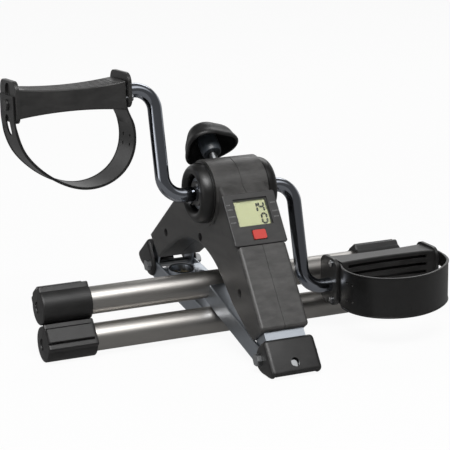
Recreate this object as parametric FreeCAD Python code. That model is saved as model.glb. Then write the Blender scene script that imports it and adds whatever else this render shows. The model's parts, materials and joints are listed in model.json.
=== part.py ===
import FreeCAD, Part
import math
import os

# Folding pedal exerciser, lying folded on its rear tube's caps and its front hinge block.
# Millimetres. Shapes are drawn with the origin in the middle of the crank axis, X along the
# tubes to the user's right, Y away from the user and Z up; finish() then moves the origin to
# the middle of the footprint.

Vec = FreeCAD.Vector
os.makedirs("parts", exist_ok=True)

# ---- driving dimensions -------------------------------------------------------------

RUN_GAP = 0.05          # radial gap of a shaft in its bush
SLIDE_GAP = 0.3         # gap between pieces that move past each other

# crank
ROD_R = 7.3             # the bent rod
THROW = 109.0           # crank axis to pedal axis
ARM_X = 71.0            # middle of the arm at the hub end
ARM_X_PEDAL = 68.5      # middle of the arm at the pedal end
BEND_R = 20.0           # middle line of the rod's bends
CRANK_TILT = 16.4       # the left arm leans this far back from upright

# housing
HOUSE_HALF = 26.0       # half width over the legs
BARREL_HALF = 28.5      # half width over the barrel
BARREL_R = 33.5
WALL = 2.5
FRONT_SLOPE = 54.6      # front leg below level
REAR_SLOPE = 37.5       # rear leg below level
FACE_N = 39.1           # front face from the crank axis
REAR_N = 32.6           # rear face from the crank axis
BLOCK_DROP_R = 1.1      # rear hinge block's face below the rear face
BLOCK_HALF = 26.8       # half width of the hinge blocks
CONSOLE_SEAT = 2.7      # depth of the console's seat in the front face
PANEL_GAP = 1.5         # console's end to the panel below it
LEG_END_F = 163.4
END_R = 3.5             # round at the front leg's lower edge
HOUSE_ROUND = 3.6       # round along the housing's side edges
SEAM_DEEP = 0.6         # groove where the halves meet
SEAM_HALF = 0.3
LEG_END_R = 169.0

# console
CONSOLE_TOP = 20.2
CONSOLE_LEN = 55.6
CONSOLE_HALF = 28.3
WINDOW_HALF = 18.3
WINDOW_TOP = CONSOLE_TOP + 6.2
BUTTON_HALF = 7.2
BUTTON_LEN = 10.2
BUTTON_END = 5.1        # button to the console's end
BUTTON_TOP = CONSOLE_TOP + CONSOLE_LEN - BUTTON_END - BUTTON_LEN
BUTTON_SPACE = 4.9      # window to button
WINDOW_LEN = BUTTON_TOP - BUTTON_SPACE - WINDOW_TOP
BUTTON_TRAVEL = 1.2

# hinges, as distances along and out from each housing leg
HINGE_F = (185.3, 19.5)
HINGE_R = (193.1, 4.9)
BOLT_R = 4.0
BLOCK_UP = 12.4         # block's top above its bolt
BLOCK_DOWN = 24.2       # block's bottom below its bolt
BLOCK_FACE = 3.0        # thickness of its face
BLOCK_ROUND = 2.6       # round along its face's upper and lower edges
BLOCK_RIM = 2.0         # round along its side edges

# folding legs
SHEET = 2.0             # frame and leg sheet
FRAME_HALF = 21.2
LEG_LEN_F = 143.2       # hinge bolt to tube
LEG_LEN_R = 154.1
FOLD_F = 16.0           # folded front leg above level
FOLD_R = 8.1            # folded rear leg below level
WEB_V = 6.6             # leg's web above its bolt
LEG_DEEP = 14.4         # leg's walls below its bolt
TUBE_R = 14.0
TUBE_WALL = 1.5
TUBE_HALF = 199.5
CAP_R = 18.0
CAP_WALL = 3.0
CAP_LEN = 51.5
PAD_OUT = 19.5          # foot pad from the tube's axis
PAD_HALF = 13.0
UNFOLD_F = 137.4        # travel to the standing position
UNFOLD_R = 138.5

# pedals
PEDAL_X = 98.0          # crank side of the inner plate
PEDAL_LEN = 119.0       # over both end plates
PEDAL_OFF = 4.0         # middle of the foot bar from its axle
PEDAL_DROP = 2.0        # foot bar's middle from its axle, towards the strap
PLATE_T = 4.0
PLATE_W = 50.0
PLATE_UP = 20.0         # plates beyond the axle, away from the strap
PLATE_DOWN_IN = 15.0    # inner plate on the strap's side
PLATE_DOWN_OUT = 21.0   # outer plate on the strap's side
TREAD_W = 45.0
TREAD_T = 28.5
TREAD_WAIST = 21.5
STRAP_W = 42.0
STRAP_T = 1.8
STRAP_REACH = 91.0      # axle to the far side of the loop
STRAP_BULGE = 7.0       # loop beyond the inner plate's inner face
PEDAL_LEAN_L = -2.7     # left pedal's turn about its axle, strap hanging down
PEDAL_LEAN_R = -90.0    # right pedal's turn, strap forward

# tension knob
KNOB_TILT = 42.6        # knob axis above level
KNOB_X = -3.0           # knob axis from the middle
KNOB_R = 27.0
KNOB_LOBE = 4.2
KNOB_LOW = 53.0         # knob rim from the crank axis
KNOB_TALL = 24.0
BOSS_LOW = 46.0         # knob's boss from the crank axis
SCREW_R = 4.0
SLEEVE_R = 10.2         # drum on the axle that the tension pad presses
SLEEVE_HALF = 12.0


# ---- side plane of each housing leg ---------------------------------------------------

class Leg:
    """Places in the YZ plane, as distance u down a housing leg and n out from the crank axis."""

    def __init__(self, way, slope):
        a = math.radians(slope)
        self.u = (way * math.cos(a), -math.sin(a))
        self.n = (way * math.sin(a), math.cos(a))

    def at(self, u, n):
        return (u * self.u[0] + n * self.n[0], u * self.u[1] + n * self.n[1])

    def out(self):
        return Vec(0, self.n[0], self.n[1])

    def down(self):
        return Vec(0, self.u[0], self.u[1])


FRONT = Leg(-1, FRONT_SLOPE)
REAR = Leg(1, REAR_SLOPE)
BOLT_F = FRONT.at(*HINGE_F)
BOLT_RR = REAR.at(*HINGE_R)


# ---- small builders -------------------------------------------------------------------

nodes = {}


def save(name, *shapes):
    """Keep one node; several shapes stay separate solids."""
    solids = [s for shape in shapes for s in shape.Solids]
    nodes[name] = solids[0] if len(solids) == 1 else Part.makeCompound(solids)


def finish():
    """Put the origin in the middle of the footprint and write every node."""
    box = FreeCAD.BoundBox()
    for shape in nodes.values():
        box.add(shape.optimalBoundingBox(True, False))
    shift = Vec(-(box.XMin + box.XMax) / 2, -(box.YMin + box.YMax) / 2, -box.ZMin)
    for name, shape in nodes.items():
        shape = shape.copy()
        shape.translate(shift)
        shape.exportStep("parts/" + name + ".step")
    print("origin shift", [round(v, 4) for v in shift], "size", round(box.XLength, 2), round(box.YLength, 2),
          round(box.ZLength, 2))
    return shift


def rod(x0, x1, at, r):
    """A round bar along X."""
    return Part.makeCylinder(r, x1 - x0, Vec(x0, at[0], at[1]), Vec(1, 0, 0))


def tube(x0, x1, at, r_out, r_in):
    return rod(x0, x1, at, r_out).cut(rod(x0 - 1, x1 + 1, at, r_in))


def outline(points):
    """A closed wire in the YZ plane; a point given as (y, z, 'arc') is the middle of an arc."""
    edges = []
    start = Vec(0, *points[0][:2])
    first = start
    i = 1
    while i <= len(points):
        p = points[i % len(points)]
        if len(p) == 3:
            end = Vec(0, *points[(i + 1) % len(points)][:2])
            edges.append(Part.Arc(start, Vec(0, p[0], p[1]), end).toShape())
            i += 2
        else:
            end = Vec(0, p[0], p[1])
            edges.append(Part.LineSegment(start, end).toShape())
            i += 1
        start = end
        if start.distanceToPoint(first) < 1e-9:
            break
    return Part.Wire(edges)


def prism(wire, x0, x1):
    """A YZ outline carried along X."""
    face = Part.Face(wire)
    face.translate(Vec(x0, 0, 0))
    return face.extrude(Vec(x1 - x0, 0, 0))


def slab(x0, x1, points):
    return prism(outline(points), x0, x1)


def leg_box(leg, x0, x1, u0, u1, n0, n1):
    """A box square to a housing leg."""
    return slab(x0, x1, [leg.at(u0, n0), leg.at(u1, n0), leg.at(u1, n1), leg.at(u0, n1)])


def leg_pin(leg, x, u, n0, n1, r):
    """A round bar square to a leg's face."""
    y, z = leg.at(u, n0)
    return Part.makeCylinder(r, n1 - n0, Vec(x, y, z), leg.out())


def fuse(*shapes):
    whole = shapes[0]
    for s in shapes[1:]:
        whole = whole.fuse(s)
    return whole.removeSplitter()


def mirrored(shape):
    return shape.mirror(Vec(0, 0, 0), Vec(1, 0, 0))


def round_edges(shape, r, test):
    """Fillet the edges that pass the test."""
    return shape.makeFillet(r, [e for e in shape.Edges if test(e)])


def rim(shape, half, r):
    """Fillet the outline edges of both side faces."""
    return round_edges(shape, r, lambda e: e.BoundBox.XLength < 1e-6
                       and abs(abs(e.BoundBox.Center.x) - half) < 1e-6)


def hex_prism(x0, x1, at, across):
    """A hexagon along X."""
    r = across / math.sqrt(3)
    pts = [(at[0] + r * math.cos(math.radians(60 * k)), at[1] + r * math.sin(math.radians(60 * k)))
           for k in range(6)]
    return slab(x0, x1, pts)


# ---- housing --------------------------------------------------------------------------

def housing_outline():
    """The housing from the side: two legs, an arch between them and the barrel on top."""
    base = FACE_N - CONSOLE_SEAT
    seat_end = CONSOLE_TOP + CONSOLE_LEN + PANEL_GAP - 0.8
    barrel_front = math.sqrt(max(BARREL_R ** 2 - (base - 4.0) ** 2, 1.0))
    barrel_rear = math.sqrt(BARREL_R ** 2 - REAR_N ** 2)
    return outline([
        FRONT.at(barrel_front, base - 4.0),
        FRONT.at(CONSOLE_TOP - 0.3, base),
        FRONT.at(seat_end, base),
        FRONT.at(seat_end, FACE_N),
        FRONT.at(LEG_END_F - END_R, FACE_N),
        (*FRONT.at(LEG_END_F - END_R * (1 - math.sqrt(0.5)), FACE_N - END_R * (1 - math.sqrt(0.5))), "arc"),
        FRONT.at(LEG_END_F, FACE_N - END_R),
        FRONT.at(LEG_END_F, 12.0),
        FRONT.at(LEG_END_F - 14.0, 3.4),
        FRONT.at(LEG_END_F - 45.0, -10.6),
        FRONT.at(87.0, -18.6),
        (8.0, -60.0, "arc"),
        REAR.at(LEG_END_R - 60.0, -5.5),
        REAR.at(LEG_END_R - 30.0, -1.5, ),
        REAR.at(LEG_END_R - 3.0, 1.7),
        REAR.at(LEG_END_R + 2.5, REAR_N),
        REAR.at(barrel_rear, REAR_N),
        (BARREL_R * math.cos(math.radians(95)), BARREL_R * math.sin(math.radians(95)), "arc"),
    ])


def screw_places():
    """Where the two halves are screwed together, in the YZ plane."""
    return [FRONT.at(114.5, 13.8), REAR.at(125.9, 13.4), (16.1, -49.8)]


BOSS_R = 5.6            # screw bosses inside the housing


def housing():
    side = housing_outline()
    body = prism(side, -HOUSE_HALF, HOUSE_HALF)
    body = rim(body, HOUSE_HALF, HOUSE_ROUND)
    body = body.fuse(rod(-BARREL_HALF, BARREL_HALF, (0, 0), BARREL_R))
    inner = Part.Face(side).makeOffset2D(-WALL)
    inner.translate(Vec(-HOUSE_HALF + WALL, 0, 0))
    room = inner.extrude(Vec(2 * (HOUSE_HALF - WALL), 0, 0))
    room = room.fuse(rod(-BARREL_HALF + WALL, BARREL_HALF - WALL, (0, 0), BARREL_R - WALL))
    body = body.cut(room)
    # a fine groove shows where the halves meet
    band = prism(side, -SEAM_HALF, SEAM_HALF).fuse(rod(-SEAM_HALF, SEAM_HALF, (0, 0), BARREL_R))
    core = Part.Face(side).makeOffset2D(-SEAM_DEEP)
    core.translate(Vec(-2 * SEAM_HALF, 0, 0))
    core = core.extrude(Vec(4 * SEAM_HALF, 0, 0)).fuse(rod(-2 * SEAM_HALF, 2 * SEAM_HALF, (0, 0), BARREL_R - SEAM_DEEP))
    body = body.cut(band.cut(core))
    # mouths that the frame's arms leave through
    body = body.cut(leg_box(FRONT, -FRAME_HALF - 0.4, FRAME_HALF + 0.4, LEG_END_F - 20, LEG_END_F + 5, 11.6, 34.6))
    body = body.cut(leg_box(REAR, -FRAME_HALF - 0.4, FRAME_HALF + 0.4, LEG_END_R - 20, LEG_END_R + 6, 4.4, 27.4))
    # openings for the hub, the console's tray and the tension screw
    body = body.cut(rod(-60, 60, (0, 0), HUB_R + 0.4))
    body = body.cut(leg_box(FRONT, -TRAY_HALF - 0.4, TRAY_HALF + 0.4, TRAY_TOP - 0.4, TRAY_TOP + TRAY_LEN + 0.4, 28, 60))
    body = body.cut(knob_pin(0, 60, SCREW_R + 1.4))
    for at in screw_places():
        body = body.fuse(rod(-HOUSE_HALF + WALL / 2, HOUSE_HALF - WALL / 2, at, BOSS_R))
        body = body.cut(rod(-HOUSE_HALF - 1, HOUSE_HALF - 1.2, at, 1.5))
        body = body.cut(rod(-HOUSE_HALF - 1, -HOUSE_HALF + 6, at, BOSS_R - 1.2))
    far = 500
    left = body.common(Part.makeBox(far, 2 * far, 2 * far, Vec(-far, -far, -far)))
    right = body.cut(Part.makeBox(far, 2 * far, 2 * far, Vec(-far, -far, -far)))
    save("housing_left", left)
    save("housing_right", right)
    screws = []
    for at in screw_places():
        head = rod(-HOUSE_HALF + 3.6, -HOUSE_HALF + 6, at, BOSS_R - 2.4)
        recess = rod(-HOUSE_HALF + 3.0, -HOUSE_HALF + 4.8, at, 1.1)
        screws.append(head.fuse(rod(-HOUSE_HALF + 6, 18, at, 1.5)).cut(recess))
    save("housing_screws", *screws)


# ---- frame and crank bearing ------------------------------------------------------------

HUB_R = 16.0            # bearing tube
HUB_BORE = 10.8
HUB_HALF = 35.0
BUSH_LEN = 9.0
FLANGE_T = 2.0
COVER_R = 30.0
COVER_END = 42.0
RECESS_R = 18.5


EAR_R = 10.0
ARM_N_F = (12.0, 33.4)      # front arm below the console
ARM_N_F_TOP = (-4.0, 22.0)  # and above it
ARM_N_R = (5.0, 27.0)


def channel(leg, u0, u1, n0, n1):
    """Sheet bent to a U with its back at n1."""
    outer = leg_box(leg, -FRAME_HALF, FRAME_HALF, u0, u1, n0, n1)
    return outer.cut(leg_box(leg, -FRAME_HALF + SHEET, FRAME_HALF - SHEET, u0 - 1, u1 + 1, n0 - 1, n1 - SHEET))


def ears(leg, bolt, end, n0, n1):
    """The two walls of an arm run on past its back and end round at the hinge bolt."""
    bu, bn = bolt
    side = slab(-FRAME_HALF, FRAME_HALF, [leg.at(end - 2.0, n1), leg.at(end - 2.0, n0), leg.at(bu, bn - EAR_R + 0.1),
                                          leg.at(bu, bn + EAR_R - 0.1)])
    side = side.fuse(rod(-FRAME_HALF, FRAME_HALF, leg.at(bu, bn), EAR_R))
    side = side.cut(rod(-FRAME_HALF + SHEET, FRAME_HALF - SHEET, (0, 0), 400))
    return side


def frame():
    tray_end = TRAY_TOP + TRAY_LEN + 2.0
    end_f, end_r = LEG_END_F + 9.0, LEG_END_R + 9.0
    upper = channel(FRONT, -25.0, tray_end + SHEET, *ARM_N_F_TOP)
    step = leg_box(FRONT, -FRAME_HALF, FRAME_HALF, tray_end, tray_end + SHEET, ARM_N_F_TOP[1] - SHEET, ARM_N_F[1])
    lower = channel(FRONT, tray_end, end_f, *ARM_N_F)
    rear = channel(REAR, -25.0, end_r, *ARM_N_R)
    body = fuse(upper, step, lower, rear, ears(FRONT, HINGE_F, end_f, *ARM_N_F), ears(REAR, HINGE_R, end_r, *ARM_N_R))
    # the hub tube is welded in, and both arms stay inside the barrel above it
    roof = Part.makeBox(200, 200, 100, Vec(-100, -100, 8)).cut(rod(-100, 100, (0, 0), BARREL_R - WALL - 1.5))
    body = body.cut(roof).cut(rod(-60, 60, (0, 0), HUB_R + 0.02))
    body = body.cut(knob_pin(0, 60, INSERT_R + 0.02))
    body = body.cut(leg_box(FRONT, SENSOR_X - 0.5, SENSOR_X + SENSOR_W + 0.5, -4.5, 3.5, 0, 60))
    body = body.cut(leg_pin(FRONT, 0, LOCK_F, 0, 60, LOCK_R + RUN_GAP))
    body = body.cut(leg_pin(REAR, 0, LOCK_RR, 0, 60, LOCK_R + RUN_GAP))
    for bolt in (BOLT_F, BOLT_RR):
        body = body.cut(rod(-60, 60, bolt, BOLT_R + RUN_GAP))
    for at in screw_places():
        body = body.cut(rod(-60, 60, at, BOSS_R + 0.4))
    save("inner_frame", body.removeSplitter())


def hub():
    shell = tube(-HUB_HALF, HUB_HALF, (0, 0), HUB_R, HUB_BORE)
    shell = shell.cut(knob_pin(0, 60, PAD_R + 0.5))
    shell = shell.cut(leg_box(FRONT, SENSOR_X - 0.5, SENSOR_X + SENSOR_W + 0.5, -4.5, 3.5, 5, 60))
    for s in flange_screw_places():
        shell = shell.cut(rod(HUB_HALF - 6.0, HUB_HALF + 1, s, 1.4))
        shell = shell.cut(rod(-HUB_HALF - 1, -HUB_HALF + 6.0, s, 1.4))
    save("hub_tube", shell)
    for name, way in (("left", -1), ("right", 1)):
        a, b = sorted((way * (HUB_HALF - BUSH_LEN), way * HUB_HALF))
        bush = tube(a, b, (0, 0), HUB_BORE, ROD_R + RUN_GAP)
        save("bushing_" + name, bush)
        a, b = sorted((way * HUB_HALF, way * (HUB_HALF + FLANGE_T)))
        plate = diamond(a, b).cut(rod(-60, 60, (0, 0), ROD_R + 0.4))
        for s in flange_screw_places():
            plate = plate.cut(rod(-60, 60, s, 1.8))
        save("bearing_flange_" + name, plate)
    screws = []
    for way in (-1, 1):
        for s in flange_screw_places():
            a, b = sorted((way * (HUB_HALF + FLANGE_T), way * (HUB_HALF + FLANGE_T + 2.4)))
            head = rod(a, b, s, 2.8)
            a, b = sorted((way * (HUB_HALF + FLANGE_T + 1.2), way * (HUB_HALF + FLANGE_T + 2.6)))
            head = head.cut(rod(a, b, s, 1.2))
            a, b = sorted((way * (HUB_HALF - 5.0), way * (HUB_HALF + FLANGE_T + 0.1)))
            screws.append(head.fuse(rod(a, b, s, 1.4)))
    save("flange_screws", *screws)
    for name, way in (("left", -1), ("right", 1)):
        save("hub_cover_" + name, hub_cover(way))


def flange_screw_places():
    r = (HUB_BORE + HUB_R) / 2
    return [(r * math.cos(math.radians(a)), r * math.sin(math.radians(a))) for a in (135, -45)]


def diamond(x0, x1):
    """The bearing flange: a round boss with two ears."""
    shape = rod(x0, x1, (0, 0), HUB_BORE + 1.7)
    for s in flange_screw_places():
        shape = shape.fuse(rod(x0, x1, s, 4.4))
    return shape.removeSplitter()


def hub_cover(way):
    """A domed ring around the bearing flange."""
    inner = BARREL_HALF
    pts = [(inner, RECESS_R), (inner, COVER_R + 1.0), (inner + 2.0, COVER_R + 1.0), (inner + 4.0, COVER_R),
           (COVER_END - 1.5, COVER_R - 7.0), (COVER_END, COVER_R - 9.5), (COVER_END, RECESS_R)]
    edges = []
    vs = [Vec(way * x, 0, r) for x, r in pts]
    for i in (0, 1, 2):
        edges.append(Part.LineSegment(vs[i], vs[i + 1]).toShape())
    edges.append(Part.Arc(vs[3], Vec(way * (inner + 10.5), 0, COVER_R - 2.6), vs[4]).toShape())
    for i in (4, 5):
        edges.append(Part.LineSegment(vs[i], vs[i + 1]).toShape())
    edges.append(Part.LineSegment(vs[6], vs[0]).toShape())
    face = Part.Face(Part.Wire(edges))
    ring = face.revolve(Vec(0, 0, 0), Vec(1, 0, 0), 360)
    if ring.Volume < 0:
        ring.reverse()
    a, b = sorted((way * (inner - 1), way * (inner + 7.5)))
    return ring.cut(tube(a, b, (0, 0), COVER_R - 2.0, RECESS_R + 2.0))


# ---- crank ------------------------------------------------------------------------------

def crank_point(way, x, out):
    """A point of the left (-1) or right (1) crank: x from the middle, out along the arm."""
    a = math.radians(CRANK_TILT)
    return Vec(way * x, -way * out * math.sin(a), -way * out * math.cos(a))


def bent_rod(points, radius, bend):
    """A round rod along straight runs joined by tangent arcs."""
    edges = []
    start = points[0]
    for a, b, c in zip(points, points[1:], points[2:]):
        d0 = (b - a).normalize()
        d1 = (c - b).normalize()
        turn = math.acos(d0.dot(d1))
        cut = bend * math.tan(turn / 2)
        p0 = b - d0 * cut
        p1 = b + d1 * cut
        mid = b + (d1 - d0).normalize() * (bend / math.cos(turn / 2) - bend)
        edges.append(Part.LineSegment(start, p0).toShape())
        edges.append(Part.Arc(p0, mid, p1).toShape())
        start = p1
    edges.append(Part.LineSegment(start, points[-1]).toShape())
    path = Part.Wire(edges)
    way = (points[1] - points[0]).normalize()
    ring = Part.Wire(Part.Circle(points[0], way, radius).toShape())
    return path.makePipeShell([ring], True, False)


def crank():
    for name, way in (("left", -1), ("right", 1)):
        pts = [crank_point(way, 0.0, 0), crank_point(way, ARM_X, 0), crank_point(way, ARM_X_PEDAL, THROW),
               crank_point(way, SPINDLE_END, THROW)]
        bar = bent_rod(pts, ROD_R, BEND_R)
        pin = crank_point(way, 0, THROW)
        a, b = sorted((way * (SPINDLE_END - CLIP_BACK - CLIP_T), way * (SPINDLE_END - CLIP_BACK)))
        save("crank_" + name, bar.cut(tube(a, b, (pin.y, pin.z), ROD_R + 1, ROD_R - CLIP_GROOVE)))
    save("crank_sleeve", tube(-SLEEVE_HALF, SLEEVE_HALF, (0, 0), SLEEVE_R, ROD_R))
    away = Vec(0, -math.cos(math.radians(20)), -math.sin(math.radians(20)))
    pocket = Part.makeCylinder(1.6, 6, Vec(SLEEVE_HALF + 2.5, 0, 0) + away * (ROD_R + 0.8), away)
    save("magnet_ring", tube(SLEEVE_HALF, SLEEVE_HALF + 5.0, (0, 0), SLEEVE_R, ROD_R).cut(pocket))
    save("speed_magnet", pocket.common(rod(0, 60, (0, 0), SLEEVE_R)))


# ---- pedals -----------------------------------------------------------------------------

def pedal_place(way):
    """Placement of a pedal built around the X axis, strap towards -Z, at the crank's end."""
    c = crank_point(way, 0, THROW)
    lean = PEDAL_LEAN_L if way < 0 else PEDAL_LEAN_R
    return FreeCAD.Placement(Vec(0, c.y, c.z), FreeCAD.Rotation(Vec(1, 0, 0), lean))


def put(shape, way):
    """Both pedals are one design: turn it half round for the left, then put it in place."""
    s = shape.copy()
    half_turn = FreeCAD.Placement(Vec(0, 0, 0), FreeCAD.Rotation(Vec(0, 0, 1), 180 if way < 0 else 0))
    s.Placement = pedal_place(way).multiply(half_turn)
    return s


def plate_side(down):
    """End plate outline in YZ: a rectangle with round corners, offset from the axle."""
    y0 = -PEDAL_OFF - PLATE_W / 2
    y1 = -PEDAL_OFF + PLATE_W / 2
    r = 10.0
    k = r * (1 - math.sqrt(0.5))
    return outline([
        (y0, -down + r), (y0, PLATE_UP - r), (y0 + k, PLATE_UP - k, "arc"), (y0 + r, PLATE_UP),
        (y1 - r, PLATE_UP), (y1 - k, PLATE_UP - k, "arc"), (y1, PLATE_UP - r), (y1, -down + r),
        (y1 - k, -down + k, "arc"), (y1 - r, -down), (y0 + r, -down), (y0 + k, -down + k, "arc"),
    ])


STRAP_GAP = 0.1         # strap from the plate and the tread that hold it
TREAD_X0 = PEDAL_X + PLATE_T + STRAP_T + 2 * STRAP_GAP
TREAD_X1 = PEDAL_X + PEDAL_LEN - PLATE_T
SPINDLE_END = TREAD_X1 - 6.0
RIB_GAP = 3.4           # slots in the tread's faces
RIB_DEPTH = 5.0
SLOT_ROWS = 5


def tread():
    """The waisted foot bar: its two faces dip towards the middle and carry long slots."""
    x0, x1 = TREAD_X0, TREAD_X1
    xm = (x0 + x1) / 2
    h = TREAD_T / 2
    q = TREAD_WAIST / 2
    y0 = -PEDAL_OFF - TREAD_W / 2

    def at(x, z):
        return Vec(x, y0, z - PEDAL_DROP)
    edges = [Part.Arc(at(x0, h), at(xm, q), at(x1, h)).toShape(),
             Part.LineSegment(at(x1, h), at(x1, -h)).toShape(),
             Part.Arc(at(x1, -h), at(xm, -q), at(x0, -h)).toShape(),
             Part.LineSegment(at(x0, -h), at(x0, h)).toShape()]
    body = Part.Face(Part.Wire(edges)).extrude(Vec(0, TREAD_W, 0))
    body = round_edges(body, 1.5, lambda e: e.BoundBox.YLength < 1e-6 and e.BoundBox.XLength > 50)
    step = (TREAD_W - 12.0) / (SLOT_ROWS - 1)
    for k in range(SLOT_ROWS):
        y = -PEDAL_OFF + (k - (SLOT_ROWS - 1) / 2) * step
        for side in (-1, 1):
            # no slot is cut into the wall around the spindle
            if abs(y) < ROD_R + RIB_GAP:
                depth = min(RIB_DEPTH, q - ROD_R - 1.5)
            else:
                depth = RIB_DEPTH
            floor = q - depth
            low = floor - PEDAL_DROP if side > 0 else -floor - PEDAL_DROP - 20.0
            body = body.cut(Part.makeBox(x1 - x0 - 16.0, RIB_GAP, 20.0, Vec(x0 + 8.0, y - RIB_GAP / 2, low)))
    body = body.cut(rod(x0 - 1, SPINDLE_END + 1.0, (0, 0), ROD_R + RUN_GAP))
    # pocket for the retaining clip at the end of the spindle
    return body.cut(rod(SPINDLE_END - CLIP_BACK - CLIP_T - SLIDE_GAP, x1 + 1, (0, 0), CLIP_R + SLIDE_GAP))


CLIP_R = 9.5
CLIP_T = 1.5
CLIP_BACK = 2.0         # clip from the spindle's end
CLIP_GROOVE = 1.0


def strap_line():
    """Outer surface of the strap loop in XZ, from the inner plate round to the outer one."""
    xi = PEDAL_X + PLATE_T + STRAP_GAP
    xo = PEDAL_X + PEDAL_LEN + STRAP_T + STRAP_GAP
    z = -STRAP_REACH
    xm = (xi + xo) / 2 - 12.0
    pts = [(xi, 6.0), (xi, -PLATE_DOWN_IN + 1.5), (xi - 0.6 * STRAP_BULGE, z * 0.28),
           (xi - STRAP_BULGE, z * 0.42), (xi - 0.85 * STRAP_BULGE, z * 0.6), (xi + 4.0, z * 0.82),
           (xi + 20.0, z * 0.95), (xm, z), (xo - 38.0, z * 0.87), (xo - 20.0, z * 0.71),
           (xo - 8.8, z * 0.55), (xo - 2.0, z * 0.34), (xo, -PLATE_DOWN_OUT + 4.0), (xo, 6.0)]
    return [Vec(x, 0, y) for x, y in pts]


def strap():
    """A flat band bent into a loop: the outline and its inward offset, carried across."""
    pts = strap_line()
    down, up = Vec(0, 0, -1), Vec(0, 0, 1)
    outer = Part.BSplineCurve()
    outer.interpolate(Points=pts[1:-1], InitialTangent=down, FinalTangent=up)
    inner_pts = [pts[0] + Vec(STRAP_T, 0, 0)]
    for p in pts[1:-1]:
        t = outer.tangent(outer.parameter(p))[0]
        inner_pts.append(p + Vec(-t.z, 0, t.x) * STRAP_T)
    inner_pts.append(pts[-1] - Vec(STRAP_T, 0, 0))
    inner = Part.BSplineCurve()
    inner.interpolate(Points=inner_pts[1:-1], InitialTangent=down, FinalTangent=up)
    corners = (pts[0], pts[1]), (pts[-2], pts[-1]), (inner_pts[0], inner_pts[1]), (inner_pts[-2], inner_pts[-1])
    ends = (pts[0], inner_pts[0]), (pts[-1], inner_pts[-1])
    edges = [outer.toShape(), inner.toShape()] + [Part.LineSegment(*pair).toShape() for pair in corners + ends]
    face = Part.Face(Part.Wire(Part.__sortEdges__(edges)))
    face.translate(Vec(0, -PEDAL_OFF - STRAP_W / 2, 0))
    band = face.extrude(Vec(0, STRAP_W, 0))
    x0, x1 = PEDAL_X, PEDAL_X + PEDAL_LEN
    # inner end: spindle and two screws pass through; outer end: a fork over the button
    band = band.cut(rod(x0, x0 + 12, (0, 0), ROD_R + 1.0))
    for s in strap_screws_at():
        band = band.cut(rod(x0, x0 + 12, s, SCREW_SHANK))
    band = band.cut(rod(x1 - 8, x1 + 5, BUTTON_AT, BUTTON_NECK + SLIDE_GAP))
    fork = leg_slot(x1 - 20, x1 + 5, BUTTON_AT[0], FORK_W, BUTTON_AT[1] - 9.0, BUTTON_AT[1] - 30.0)
    band = band.cut(fork)
    for z in (-44.0, -53.0):
        for y in (-9.0, 9.0):
            hole = Part.makeCylinder(1.7, 20, Vec(x0 - 8, y - PEDAL_OFF, z), Vec(1, 0, 0))
            band = band.cut(hole)
    for x in (x0 + 44.0, x0 + 53.0):
        band = band.cut(Part.makeCylinder(1.7, 20, Vec(x, 5.0 - PEDAL_OFF, -STRAP_REACH - 6), Vec(0, 0, 1)))
    return band


def leg_slot(x0, x1, y, width, z_top, z_low):
    """A slot with round ends, cut along X."""
    r = width / 2
    return slab(x0, x1, [(y - r, z_top - r), (y - r, z_low + r), (y + r, z_low + r), (y + r, z_top - r)]).fuse(
        [rod(x0, x1, (y, z_top - r), r), rod(x0, x1, (y, z_low + r), r)])


BUTTON_AT = (-4.0, -4.0)    # hook button on the outer plate
BUTTON_NECK = 3.4
FORK_W = 13.0
SCREW_SHANK = 1.6


def strap_screws_at():
    return [(-PEDAL_OFF - 19.5, -5.0), (-PEDAL_OFF + 19.5, -5.0)]


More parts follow.
